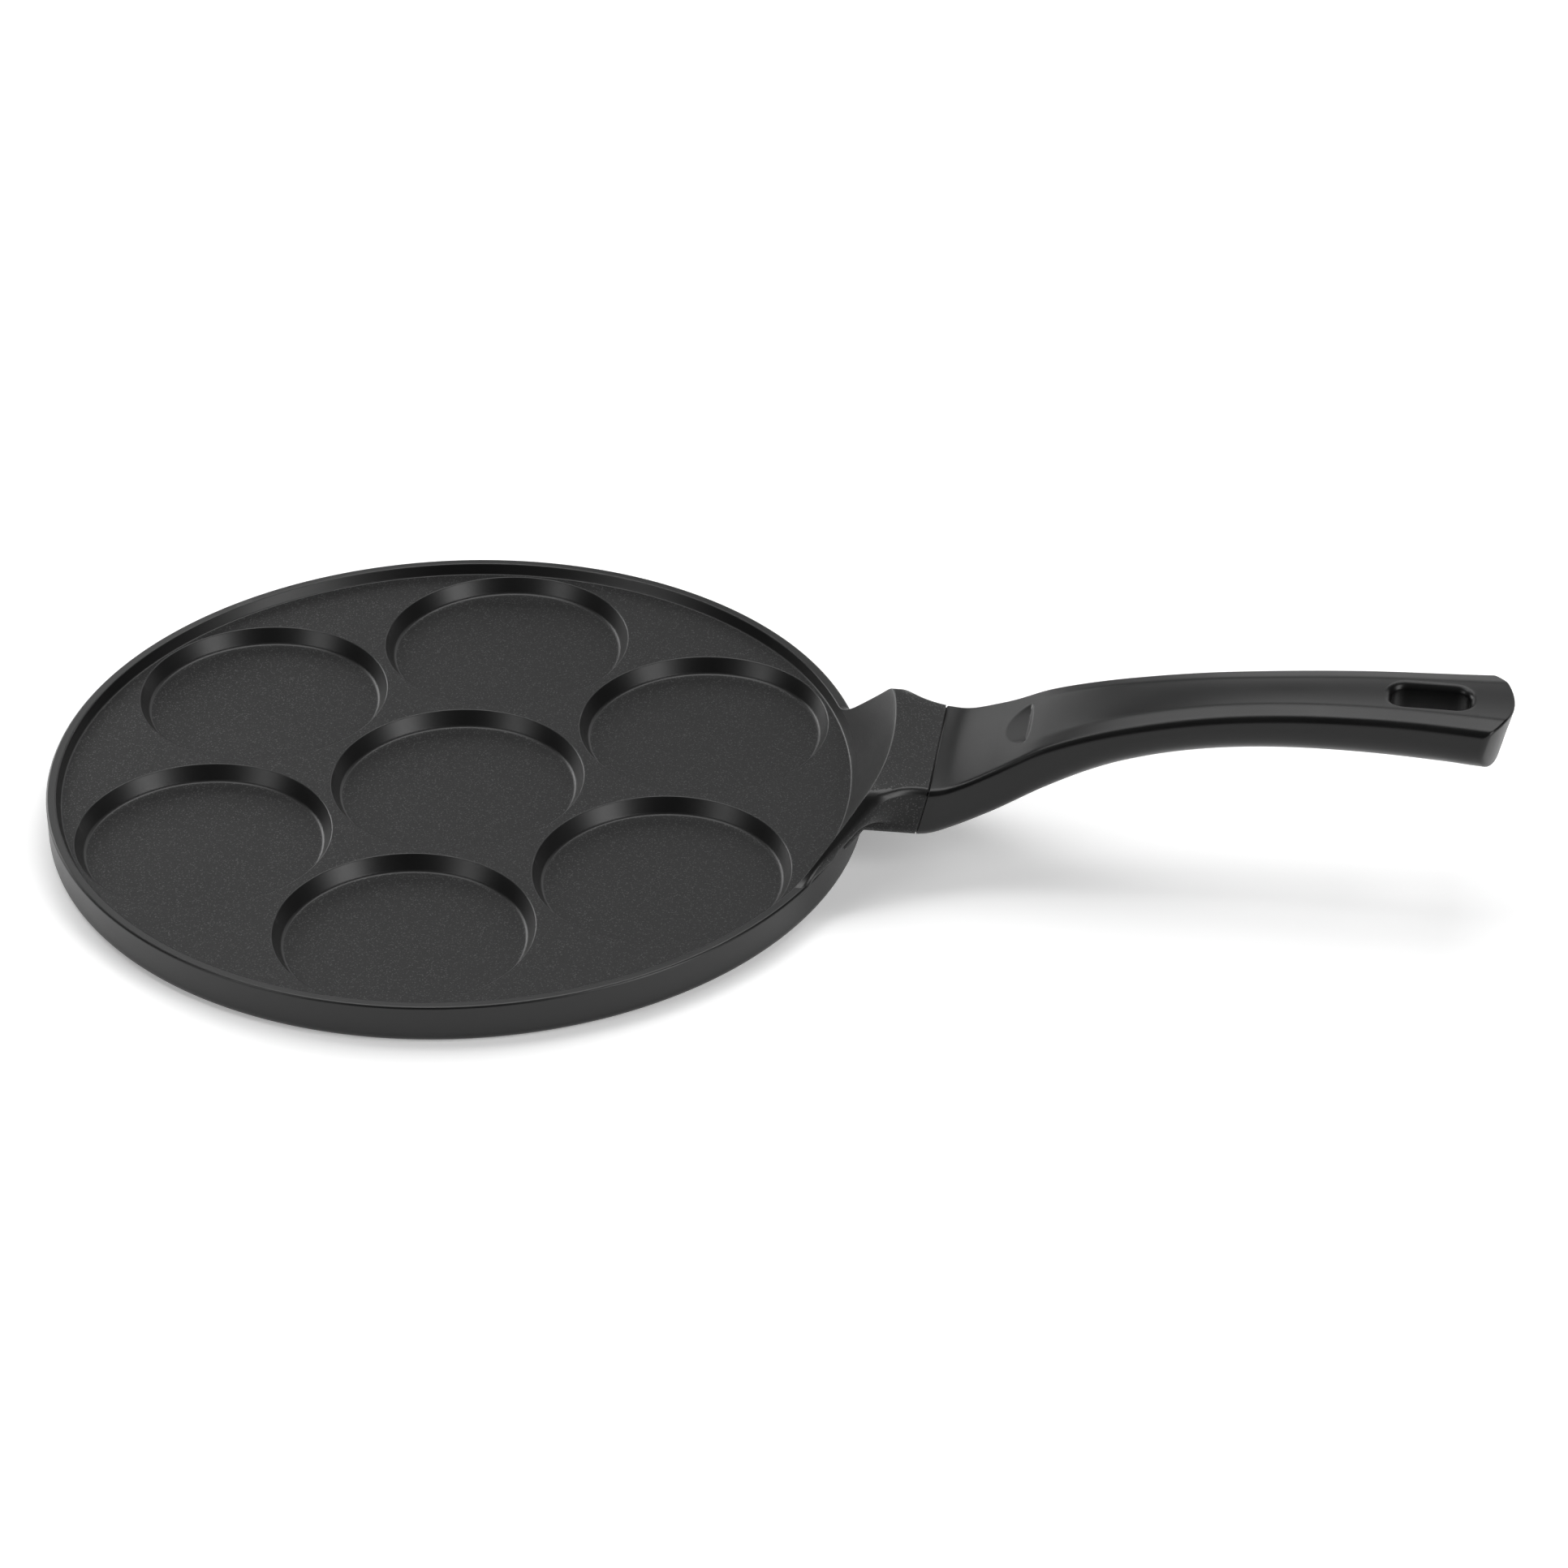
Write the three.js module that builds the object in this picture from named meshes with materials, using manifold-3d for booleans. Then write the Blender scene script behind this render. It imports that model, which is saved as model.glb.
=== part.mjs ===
// Pancake pan: a shallow cast pan with seven wells and a fixed moulded handle.
// Millimetres, +Z up, the base's centre on the floor at the origin, the handle along +X.
import * as THREE from 'three';
import { mergeVertices } from 'three/addons/utils/BufferGeometryUtils.js';
import Module from 'manifold-3d';

const wasm = await Module();
wasm.setup();

// Wells: one in the middle and a ring of six round it
const WELL_RADIUS = 40.3;
const WELL_DRAFT = 2.9;
const WELL_DEPTH = 5;
const WELL_LAND = 3.5;
const WELL_FLOOR_FILLET = 1;
const RING_WELLS = 6;

// Pan: plate, rim and base
const FLOOR_THICKNESS = 4.6;
const BASE_FILLET = 3;
const RIM_LAND = 1.1;
const RIM_DRAFT = 1.4;
const RIM_WIDTH = 3.1;
const RIM_RISE = 3.4;

// Lug: the scoop that climbs from the rim to the handle
const SCOOP_ANGLE = 28.4;
const CREST_RISE = 22.3;
const CREST_WIDTH = 61.5;
const WING_ANGLE = 52;
const FLARE_ANGLE = 36.5;
const FLARE_RADIUS = 15.5;
const LUG_REACH = 23.5;
const GUSSET_DROP = 8.6;
const GUSSET_LENGTH = 16;

// Neck: the section that lug and handle share at their joint
const NECK_DROP = 1.5;
const NECK_CROWN = 1.2;
const NECK_WIDTH = 52;
const NECK_DEPTH = 18.2;
const NECK_ROUND = 6;
const EDGE_CHAMFER = 1.6;
const JOINT_TILT = 13.4;
const JOINT_GAP = 0.4;

// Handle: its plan, its rise and its depth
const HANDLE_LENGTH = 177;
const BEND_WIDTH = 39.4;
const WAIST_WIDTH = 29;
const END_WIDTH = 35.4;
const GRIP_RISE = 30.1;
const BEND_DEPTH = 17.8;
const WAIST_DEPTH = 14.4;
const END_DEPTH = 16.2;
const GRIP_ROUND = 10;
const FACET_WIDTH = 6.8;
const FACET_DROP = 1.45;
const GRIP_DISH = 0.6;
const END_RADIUS = 25;
const END_UNDERCUT = 13;

// Hang slot and thumb dimple
const SLOT_LENGTH = 24;
const SLOT_WIDTH = 11.4;
const SLOT_CORNER = 4.5;
const SLOT_END_WALL = 13.5;
const DIMPLE_REACH = 26;
const DIMPLE_LENGTH = 11;
const DIMPLE_WIDTH = 21;
const DIMPLE_DEPTH = 1.2;
const DIMPLE_TILT = 26;

// Fixing: tenon, bush, screw and washer
const TENON_LENGTH = 17;
const TENON_WIDTH = 26;
const TENON_HEIGHT = 6;
const TENON_DROP = 2.8;
const SOCKET_CLEARANCE = 0.3;
const SCREW_INSET = 6.5;
const SCREW_DIAMETER = 4.7;
const SCREW_HEAD_DIAMETER = 8.5;
const SCREW_HEAD_HEIGHT = 2.6;
const SCREW_TIP_GAP = 0.8;
const CROSS_LENGTH = 4.6;
const CROSS_WIDTH = 1.1;
const CROSS_DEPTH = 1.8;
const WASHER_DIAMETER = 9.2;
const WASHER_THICKNESS = 1.2;
const WASHER_SPLIT = 1;
const LEDGE_THICKNESS = 2.6;
const RECESS_CLEARANCE = 0.4;
const BUSH_DIAMETER = 7.2;
const BUSH_FLANGE_DIAMETER = 9.2;
const BUSH_FLANGE_THICKNESS = 1.2;
const THREAD_CLEARANCE = 0.3;
const SEAT_GAP = 0.1;

// Facets round each kind of turned face
const PAN_FACETS = 96;
const WELL_FACETS = 48;
const SMALL_FACETS = 24;

// Heights and places that follow from the sizes
const plateTop = FLOOR_THICKNESS + WELL_DEPTH;
const rimTop = plateTop + RIM_RISE;
const wellPitch = 2 * WELL_RADIUS + WELL_LAND;
const plateRadius = wellPitch + WELL_RADIUS + RIM_LAND;
const rimInner = plateRadius + RIM_DRAFT;
const panRadius = rimInner + RIM_WIDTH;
const crestTop = rimTop + CREST_RISE;
const scoopSlope = Math.tan(THREE.MathUtils.degToRad(SCOOP_ANGLE));
const crestRadius = rimInner + CREST_RISE * scoopSlope;
const neckTop = crestTop - NECK_DROP;
const neckBottom = neckTop - NECK_DEPTH;
const jointX = panRadius + LUG_REACH;
const jointTilt = THREE.MathUtils.degToRad(JOINT_TILT);
const endX = jointX + HANDLE_LENGTH;
const screwX = jointX + SCREW_INSET;
const tenonTop = neckTop - TENON_DROP;
const tenonBottom = tenonTop - TENON_HEIGHT;
const ledgeBottom = tenonBottom - SOCKET_CLEARANCE - LEDGE_THICKNESS;
const recessRadius = Math.max(WASHER_DIAMETER, SCREW_HEAD_DIAMETER) / 2 + RECESS_CLEARANCE;
const reach = 3 * (endX + crestTop);

// A closed geometry becomes a solid that can be joined and cut
function solid(geometry) {
  const bare = geometry.clone();
  bare.deleteAttribute('normal');
  bare.deleteAttribute('uv');
  const merged = mergeVertices(bare, 1e-4);
  const vertProperties = new Float32Array(merged.attributes.position.array);
  const triVerts = new Uint32Array(merged.index.array);
  return new wasm.Manifold(new wasm.Mesh({ numProp: 3, vertProperties, triVerts }));
}

// A solid becomes a named mesh of the scene
function piece(name, body, material) {
  const result = body.getMesh();
  const geometry = new THREE.BufferGeometry();
  geometry.setAttribute('position', new THREE.BufferAttribute(result.vertProperties, 3));
  geometry.setIndex(new THREE.BufferAttribute(result.triVerts, 1));
  geometry.computeVertexNormals();
  const mesh = new THREE.Mesh(geometry, material);
  mesh.name = name;
  return mesh;
}

// A profile of radius and height turned round the Z axis
function turned(profile, facets) {
  const points = profile.map(([radius, height]) => new THREE.Vector2(radius, height));
  return solid(new THREE.LatheGeometry(points, facets).rotateX(Math.PI / 2));
}

// A box between two corners
function block(low, high) {
  const size = high.map((value, axis) => value - low[axis]);
  const middle = high.map((value, axis) => (value + low[axis]) / 2);
  return solid(new THREE.BoxGeometry(...size).translate(...middle));
}

// A closed skin over rings that have the same number of points, capped at both ends
function loft(rings) {
  const count = rings[0].length;
  const positions = rings.flat(2);
  const index = [];
  for (let ring = 0; ring + 1 < rings.length; ring += 1) {
    for (let point = 0; point < count; point += 1) {
      const next = (point + 1) % count;
      const a = ring * count + point;
      const b = ring * count + next;
      index.push(a, a + count, b, b, a + count, b + count);
    }
  }
  for (const [ring, first] of [[rings[0], 0], [rings.at(-1), (rings.length - 1) * count]]) {
    const centre = positions.length / 3;
    for (let axis = 0; axis < 3; axis += 1) {
      const values = ring.map((point) => point[axis]);
      positions.push((Math.max(...values) + Math.min(...values)) / 2);
    }
    for (let point = 0; point < count; point += 1) {
      const next = (point + 1) % count;
      const pair = first === 0 ? [point, next] : [first + next, first + point];
      index.push(centre, ...pair);
    }
  }
  const geometry = new THREE.BufferGeometry();
  geometry.setAttribute('position', new THREE.Float32BufferAttribute(positions, 3));
  geometry.setIndex(index);
  return solid(geometry);
}

// The right half of a section, from the top's middle to the bottom's, mirrored into a full ring
function mirroredRing(x, half) {
  const left = half.slice(1, -1).reverse().map(([y, z]) => [x, -y, z]);
  return [...half.map(([y, z]) => [x, y, z]), ...left];
}

// A smooth curve of value against distance through a few points, level before the first
function along(points, distance) {
  const last = points.length - 1;
  const slopeAt = (k) => {
    const before = points[Math.max(k - 1, 0)];
    const after = points[Math.min(k + 1, last)];
    return k === 0 ? 0 : (after[1] - before[1]) / (after[0] - before[0]);
  };
  if (distance <= points[0][0]) return points[0][1];
  let k = 0;
  while (k < last - 1 && distance > points[k + 1][0]) k += 1;
  const span = points[k + 1][0] - points[k][0];
  const t = Math.min((distance - points[k][0]) / span, 1);
  const rise = t * t * (3 - 2 * t);
  const start = t * (1 - t) * (1 - t) * slopeAt(k) * span;
  const end = t * t * (t - 1) * slopeAt(k + 1) * span;
  return points[k][1] + rise * (points[k + 1][1] - points[k][1]) + start + end;
}

// Everything on the handle's side of the tilted joint face
function beyondJoint(offset) {
  const half = new THREE.BoxGeometry(reach, reach, reach).translate(reach / 2 + offset, 0, 0);
  return solid(half.rotateY(jointTilt).translate(jointX, 0, neckTop));
}

// Half width of the lug in plan: the neck, then an arc, then a straight flare
function lugHalfWidth(x) {
  const flare = THREE.MathUtils.degToRad(FLARE_ANGLE);
  const back = Math.max(jointX - x, 0);
  const arc = FLARE_RADIUS * Math.sin(flare);
  const onArc = Math.min(back, arc);
  const curved = FLARE_RADIUS - Math.sqrt(FLARE_RADIUS ** 2 - onArc ** 2);
  return NECK_WIDTH / 2 + curved + Math.max(back - arc, 0) * Math.tan(flare);
}

// One section of the lug: flat top, falling wings, side, rounded lower edge and gusset
function lugRing(x) {
  const wingSlope = Math.tan(THREE.MathUtils.degToRad(WING_ANGLE));
  const insidePan = panRadius * Math.cos(Math.PI / PAN_FACETS);
  const onPan = Math.sqrt(Math.max(insidePan ** 2 - x ** 2, 0));
  const wingFoot = CREST_WIDTH / 2 + (crestTop - plateTop) / wingSlope;
  const width = Math.min(Math.max(lugHalfWidth(x), onPan), wingFoot);
  const fall = Math.min(Math.max((x - crestRadius) / (jointX - crestRadius), 0), 1);
  const top = crestTop - NECK_DROP * fall;
  const corner = CREST_WIDTH / 2 + (crestTop - top) / wingSlope;
  const wing = crestTop - (width - CREST_WIDTH / 2) * wingSlope;
  const edge = Math.min(top - EDGE_CHAMFER, wing);
  const flat = Math.min(corner, width - EDGE_CHAMFER);
  const lowSide = Math.min(Math.max(onPan, NECK_WIDTH / 2), width);
  const wallX = Math.sqrt(Math.max(panRadius ** 2 - (NECK_WIDTH / 2) ** 2, 0));
  const clear = Math.min(Math.max((x - wallX) / NECK_ROUND, 0), 1);
  const low = neckBottom - GUSSET_DROP * (1 - clear);
  const round = Math.min(NECK_ROUND, Math.max(edge - low, 0));
  const along01 = Math.min(Math.max((x - panRadius) / GUSSET_LENGTH, 0), 1);
  const keel = neckBottom - GUSSET_DROP * (1 - along01) ** 2;
  return mirroredRing(x, [
    [0, top + NECK_CROWN],
    [flat / 2, top + 0.75 * NECK_CROWN],
    [flat, top],
    [width, edge],
    [lowSide, low + round],
    [lowSide - 0.3 * round, low + 0.3 * round],
    [lowSide - round, low],
    [NECK_WIDTH / 4, Math.min(keel, low)],
    [0, Math.min(keel, low)],
  ]);
}

// Pan body: disc and lug joined, then the cavity, the wells and the bush's seat cut from them
const disc = [[0, 0]];
for (let step = 0; step <= 3; step += 1) {
  const turn = (step / 3) * (Math.PI / 2);
  disc.push([
    panRadius - BASE_FILLET + BASE_FILLET * Math.sin(turn),
    BASE_FILLET - BASE_FILLET * Math.cos(turn),
  ]);
}
disc.push([panRadius, rimTop], [0, rimTop]);

const lugStart = plateRadius * Math.cos(Math.atan2(CREST_WIDTH, panRadius));
const lugStations = [];
for (let step = 0; step <= 20; step += 1) {
  lugStations.push(lugStart + (step / 20) * (jointX - lugStart));
}
lugStations.push(jointX + EDGE_CHAMFER);
const lug = loft(lugStations.map(lugRing)).subtract(beyondJoint(0));

const tenon = block(
  [jointX - TENON_LENGTH / 2, -TENON_WIDTH / 2, tenonBottom],
  [jointX + TENON_LENGTH, TENON_WIDTH / 2, tenonTop],
);

const aboveCrest = crestTop + CREST_RISE;
const cavity = turned([
  [0, plateTop],
  [plateRadius, plateTop],
  [rimInner, rimTop],
  [rimInner + (aboveCrest - rimTop) * scoopSlope, aboveCrest],
  [0, aboveCrest],
], PAN_FACETS);

const wellFloor = WELL_RADIUS - WELL_DRAFT;
const well = turned([
  [0, FLOOR_THICKNESS],
  [wellFloor - WELL_FLOOR_FILLET, FLOOR_THICKNESS],
  [wellFloor + (WELL_DRAFT * WELL_FLOOR_FILLET) / WELL_DEPTH, FLOOR_THICKNESS + WELL_FLOOR_FILLET],
  [WELL_RADIUS, plateTop],
  [WELL_RADIUS, plateTop + RIM_RISE / 2],
  [0, plateTop + RIM_RISE / 2],
], WELL_FACETS);

const bushSeat = turned([
  [0, tenonBottom - TENON_HEIGHT],
  [BUSH_DIAMETER / 2 + SOCKET_CLEARANCE, tenonBottom - TENON_HEIGHT],
  [BUSH_DIAMETER / 2 + SOCKET_CLEARANCE, tenonTop - BUSH_FLANGE_THICKNESS - SEAT_GAP],
  [BUSH_FLANGE_DIAMETER / 2 + SOCKET_CLEARANCE, tenonTop - BUSH_FLANGE_THICKNESS - SEAT_GAP],
  [BUSH_FLANGE_DIAMETER / 2 + SOCKET_CLEARANCE, tenonTop + TENON_HEIGHT],
  [0, tenonTop + TENON_HEIGHT],
], SMALL_FACETS).translate([screwX, 0, 0]);

let pan = turned(disc, PAN_FACETS).add(lug).subtract(cavity).subtract(well);
for (let k = 0; k < RING_WELLS; k += 1) {
  const turn = ((k + 0.5) / RING_WELLS) * 2 * Math.PI;
  pan = pan.subtract(well.translate([wellPitch * Math.cos(turn), wellPitch * Math.sin(turn), 0]));
}
pan = pan.add(tenon).subtract(bushSeat);

// Handle: a loft along X, trimmed at the joint and at its rounded end
const handleRise = [
  [0, 0],
  [7, 0.7],
  [18.5, 5.8],
  [34.5, 13.7],
  [58.5, 21],
  [90.5, 26.9],
  [130.5, GRIP_RISE - 0.1],
  [HANDLE_LENGTH, GRIP_RISE],
];
const handleWidth = [
  [0, NECK_WIDTH],
  [10.5, (NECK_WIDTH + BEND_WIDTH) / 2 + 1],
  [26.5, BEND_WIDTH],
  [58, (BEND_WIDTH + WAIST_WIDTH) / 2 - 1.8],
  [98, WAIST_WIDTH],
  [138, (WAIST_WIDTH + END_WIDTH) / 2 - 1.2],
  [HANDLE_LENGTH, END_WIDTH],
];
const handleDepth = [
  [0, NECK_DEPTH],
  [22, BEND_DEPTH],
  [74, WAIST_DEPTH],
  [165, END_DEPTH],
  [HANDLE_LENGTH, END_DEPTH],
];

function handleRing(x) {
  const distance = x - jointX;
  const ramp = THREE.MathUtils.smoothstep(distance, 20, 60);
  const edgeTop = neckTop + along(handleRise, distance);
  const bottom = edgeTop - along(handleDepth, distance);
  const width = along(handleWidth, distance) / 2;
  const crease = width - FACET_WIDTH;
  const archAt = (y) => NECK_CROWN * (1 - (y / width) ** 2);
  const middle = THREE.MathUtils.lerp(archAt(0), FACET_DROP - GRIP_DISH, ramp);
  const quarter = THREE.MathUtils.lerp(archAt(crease / 2), FACET_DROP - 0.75 * GRIP_DISH, ramp);
  const shoulder = THREE.MathUtils.lerp(archAt(crease), FACET_DROP, ramp);
  const wanted = NECK_ROUND + (GRIP_ROUND - NECK_ROUND) * ramp;
  const round = Math.min(wanted, edgeTop - EDGE_CHAMFER - bottom, width - EDGE_CHAMFER);
  return mirroredRing(x, [
    [0, edgeTop + middle],
    [crease / 2, edgeTop + quarter],
    [crease, edgeTop + shoulder],
    [width - EDGE_CHAMFER, edgeTop + (shoulder * EDGE_CHAMFER) / FACET_WIDTH],
    [width, edgeTop - EDGE_CHAMFER],
    [width, bottom + round],
    [width - 0.134 * round, bottom + 0.5 * round],
    [width - 0.5 * round, bottom + 0.134 * round],
    [width - round, bottom],
    [0, bottom],
  ]);
}

const handleStart = jointX - NECK_DEPTH * Math.tan(jointTilt) - EDGE_CHAMFER;
const handleStations = [];
for (let step = 0; step <= 32; step += 1) {
  handleStations.push(handleStart + (step / 32) * (endX + END_RADIUS / 2 - handleStart));
}

const endTop = neckTop + GRIP_RISE;
const endLean = THREE.MathUtils.degToRad(END_UNDERCUT);
const endRound = solid(
  new THREE.CylinderGeometry(END_RADIUS, END_RADIUS, reach, 2 * WELL_FACETS)
    .rotateX(Math.PI / 2)
    .rotateY(endLean)
    .translate(endX - END_RADIUS / Math.cos(endLean), 0, endTop),
);
const endBlock = block([endX - END_RADIUS, -END_WIDTH, 0], [endX + END_RADIUS, END_WIDTH, 2 * endTop]);

const slotOutline = new THREE.Shape();
const slotHalf = SLOT_WIDTH / 2;
const slotCorner = Math.min(SLOT_CORNER, SLOT_LENGTH / 2, slotHalf);
slotOutline.moveTo(-SLOT_LENGTH / 2 + slotCorner, -slotHalf);
slotOutline.lineTo(SLOT_LENGTH / 2 - slotCorner, -slotHalf);
slotOutline.absarc(SLOT_LENGTH / 2 - slotCorner, -slotHalf + slotCorner, slotCorner, -Math.PI / 2, 0);
slotOutline.absarc(SLOT_LENGTH / 2 - slotCorner, slotHalf - slotCorner, slotCorner, 0, Math.PI / 2);
slotOutline.absarc(-SLOT_LENGTH / 2 + slotCorner, slotHalf - slotCorner, slotCorner, Math.PI / 2, Math.PI);
slotOutline.absarc(-SLOT_LENGTH / 2 + slotCorner, -slotHalf + slotCorner, slotCorner, Math.PI, 1.5 * Math.PI);
const slotX = endX - SLOT_END_WALL - SLOT_LENGTH / 2;
const slot = solid(
  new THREE.ExtrudeGeometry(slotOutline, { depth: 2 * endTop, bevelEnabled: false, curveSegments: 5 })
    .translate(slotX, 0, 0),
);

const dimpleTop = neckTop + NECK_CROWN + along(handleRise, DIMPLE_REACH);
const dimple = solid(
  new THREE.SphereGeometry(1, SMALL_FACETS, SMALL_FACETS / 2)
    .rotateX(Math.PI / 2)
    .scale(DIMPLE_LENGTH / 2, DIMPLE_WIDTH / 2, DIMPLE_DEPTH)
    .rotateY(-THREE.MathUtils.degToRad(DIMPLE_TILT))
    .translate(jointX + DIMPLE_REACH, 0, dimpleTop),
);

const socket = block(
  [jointX - TENON_LENGTH, -TENON_WIDTH / 2 - SOCKET_CLEARANCE, tenonBottom - SOCKET_CLEARANCE],
  [
    jointX + TENON_LENGTH + SOCKET_CLEARANCE,
    TENON_WIDTH / 2 + SOCKET_CLEARANCE,
    tenonTop + SOCKET_CLEARANCE,
  ],
);
const screwHole = turned([
  [0, 0],
  [recessRadius, 0],
  [recessRadius, ledgeBottom],
  [SCREW_DIAMETER / 2 + RECESS_CLEARANCE, ledgeBottom],
  [SCREW_DIAMETER / 2 + RECESS_CLEARANCE, tenonBottom],
  [0, tenonBottom],
], SMALL_FACETS).translate([screwX, 0, 0]);

const handle = loft(handleStations.map(handleRing))
  .intersect(beyondJoint(JOINT_GAP))
  .subtract(endBlock.subtract(endRound))
  .subtract(slot)
  .subtract(dimple)
  .subtract(socket)
  .subtract(screwHole);

// Fixing: bush in the tenon, spring washer and screw from below
const bush = turned([
  [SCREW_DIAMETER / 2 + THREAD_CLEARANCE, tenonBottom],
  [BUSH_DIAMETER / 2, tenonBottom],
  [BUSH_DIAMETER / 2, tenonTop - BUSH_FLANGE_THICKNESS],
  [BUSH_FLANGE_DIAMETER / 2, tenonTop - BUSH_FLANGE_THICKNESS],
  [BUSH_FLANGE_DIAMETER / 2, tenonTop],
  [SCREW_DIAMETER / 2 + THREAD_CLEARANCE, tenonTop],
  [SCREW_DIAMETER / 2 + THREAD_CLEARANCE, tenonBottom],
], SMALL_FACETS);

const washerTop = ledgeBottom - SEAT_GAP;
const washerBottom = washerTop - WASHER_THICKNESS;
const washerHole = SCREW_DIAMETER / 2 + THREAD_CLEARANCE;
const washerRing = turned([
  [washerHole, washerBottom],
  [WASHER_DIAMETER / 2, washerBottom],
  [WASHER_DIAMETER / 2, washerTop],
  [washerHole, washerTop],
  [washerHole, washerBottom],
], SMALL_FACETS);
const washer = washerRing.subtract(
  block([0, -WASHER_SPLIT / 2, 0], [WASHER_DIAMETER, WASHER_SPLIT / 2, neckTop]),
);

const headTop = washerBottom - SEAT_GAP;
const headBottom = headTop - SCREW_HEAD_HEIGHT;
const screwTip = tenonTop - SCREW_TIP_GAP;
const screwBlank = turned([
  [0, headBottom],
  [SCREW_HEAD_DIAMETER / 2 - SCREW_TIP_GAP, headBottom],
  [SCREW_HEAD_DIAMETER / 2, headBottom + SCREW_TIP_GAP],
  [SCREW_HEAD_DIAMETER / 2, headTop],
  [SCREW_DIAMETER / 2, headTop],
  [SCREW_DIAMETER / 2, screwTip - SCREW_TIP_GAP],
  [SCREW_DIAMETER / 2 - SCREW_TIP_GAP, screwTip],
  [0, screwTip],
], SMALL_FACETS);
const crossDepth = headBottom + CROSS_DEPTH;
const cross = block([-CROSS_LENGTH / 2, -CROSS_WIDTH / 2, 0], [CROSS_LENGTH / 2, CROSS_WIDTH / 2, crossDepth])
  .add(block([-CROSS_WIDTH / 2, -CROSS_LENGTH / 2, 0], [CROSS_WIDTH / 2, CROSS_LENGTH / 2, crossDepth]));
const screw = screwBlank.subtract(cross);

// Materials
const coating = new THREE.MeshStandardMaterial({ color: 0x2b2c2d, roughness: 0.45, metalness: 0.2 });
const phenolic = new THREE.MeshStandardMaterial({ color: 0x1f1f20, roughness: 0.42, metalness: 0 });
const zincSteel = new THREE.MeshStandardMaterial({ color: 0xb4b6b8, roughness: 0.35, metalness: 1 });
const springSteel = new THREE.MeshStandardMaterial({ color: 0x8d9093, roughness: 0.4, metalness: 1 });

const fixing = new THREE.Group();
fixing.position.set(screwX, 0, 0);
fixing.add(piece('handle_screw', screw, zincSteel));
fixing.add(piece('lock_washer', washer, springSteel));
fixing.add(piece('threaded_bush', bush, zincSteel));

const pancakePan = new THREE.Group();
pancakePan.add(piece('pan_body', pan, coating));
pancakePan.add(piece('handle_grip', handle, phenolic));
pancakePan.add(fixing);

export default pancakePan;
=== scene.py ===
import bmesh
import bpy
import math
from mathutils import Matrix, Vector


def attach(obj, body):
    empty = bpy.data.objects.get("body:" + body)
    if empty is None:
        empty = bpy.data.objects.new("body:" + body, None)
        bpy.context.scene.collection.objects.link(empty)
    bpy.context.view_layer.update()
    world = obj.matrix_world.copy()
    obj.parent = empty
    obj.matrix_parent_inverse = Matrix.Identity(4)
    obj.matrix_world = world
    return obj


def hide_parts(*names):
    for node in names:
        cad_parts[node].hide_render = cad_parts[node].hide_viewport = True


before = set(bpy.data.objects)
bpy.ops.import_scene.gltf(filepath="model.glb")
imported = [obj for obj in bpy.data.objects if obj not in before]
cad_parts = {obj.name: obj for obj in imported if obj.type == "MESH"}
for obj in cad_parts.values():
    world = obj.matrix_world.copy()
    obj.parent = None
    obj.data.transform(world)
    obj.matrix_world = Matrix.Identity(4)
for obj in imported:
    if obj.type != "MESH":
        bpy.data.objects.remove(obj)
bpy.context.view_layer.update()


# Pan casting
# One die casting of aluminium: base, rim, seven wells, handle lug and the tenon inside the handle.
# It is coated black all over, with a fine mica grain inside and a smoother finish outside.
MM = 0.001
PAN_RADIUS = 130.0
RIM_TOP = 13.0
RIM_INNER = 126.9
PLATE_TOP = 9.6
PLATE_RADIUS = 125.5
WELL_FLOOR = 4.6
WELL_RADIUS = 40.3
WELL_FLOOR_RADIUS = 37.4
WELL_PITCH = 84.1
ROUND_PAN = 360
ROUND_WELL = 144


def spot(shell, x, y, z):
    """One point of a mesh, given in millimetres."""
    return shell.verts.new((x * MM, y * MM, z * MM))


def skin(shell, rows, closed):
    """Four-sided faces between rows of points that have the same count."""
    count = len(rows[0])
    for low, high in zip(rows, rows[1:]):
        for k in range(count if closed else count - 1):
            following = (k + 1) % count
            shell.faces.new([low[k], low[following], high[following], high[k]])


def fill_between(shell, loops):
    """A flat face inside the first closed loop, with the other loops as holes in it."""
    edges = []
    for loop in loops:
        for k, point in enumerate(loop):
            pair = (point, loop[(k + 1) % len(loop)])
            edges.append(shell.edges.get(pair) or shell.edges.new(pair))
    bmesh.ops.triangle_fill(shell, use_beauty=True, edges=edges)


def rounded_corner(before, corner, after, radius, steps):
    """Points of the arc that rounds one corner of an outline."""
    corner = Vector(corner)
    into = (Vector(before) - corner).normalized()
    out = (Vector(after) - corner).normalized()
    half = into.angle(out) / 2
    centre = corner + (into + out).normalized() * radius / math.sin(half)
    start = corner + into * radius / math.tan(half) - centre
    end = corner + out * radius / math.tan(half) - centre
    turn = math.pi - 2 * half
    points = []
    for step in range(steps + 1):
        t = step / steps
        arm = start * math.sin((1 - t) * turn) + end * math.sin(t * turn)
        points.append(tuple(centre + arm / math.sin(turn)))
    return points


def turned_rings(shell, profile, count, centre=(0.0, 0.0)):
    """Rings of points for a profile of radius and height turned about an upright axis."""
    rings = []
    for radius, height in profile:
        ring = []
        for k in range(count):
            turn = 2 * math.pi * k / count
            ring.append(spot(shell, centre[0] + radius * math.cos(turn),
                             centre[1] + radius * math.sin(turn), height))
        rings.append(ring)
    return rings


def close_shell(shell):
    """Welds the patches of a shell and turns its faces outwards."""
    bmesh.ops.remove_doubles(shell, verts=shell.verts, dist=0.002 * MM)
    bmesh.ops.dissolve_degenerate(shell, edges=shell.edges, dist=0.0005 * MM)
    bmesh.ops.recalc_face_normals(shell, faces=shell.faces)


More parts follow.
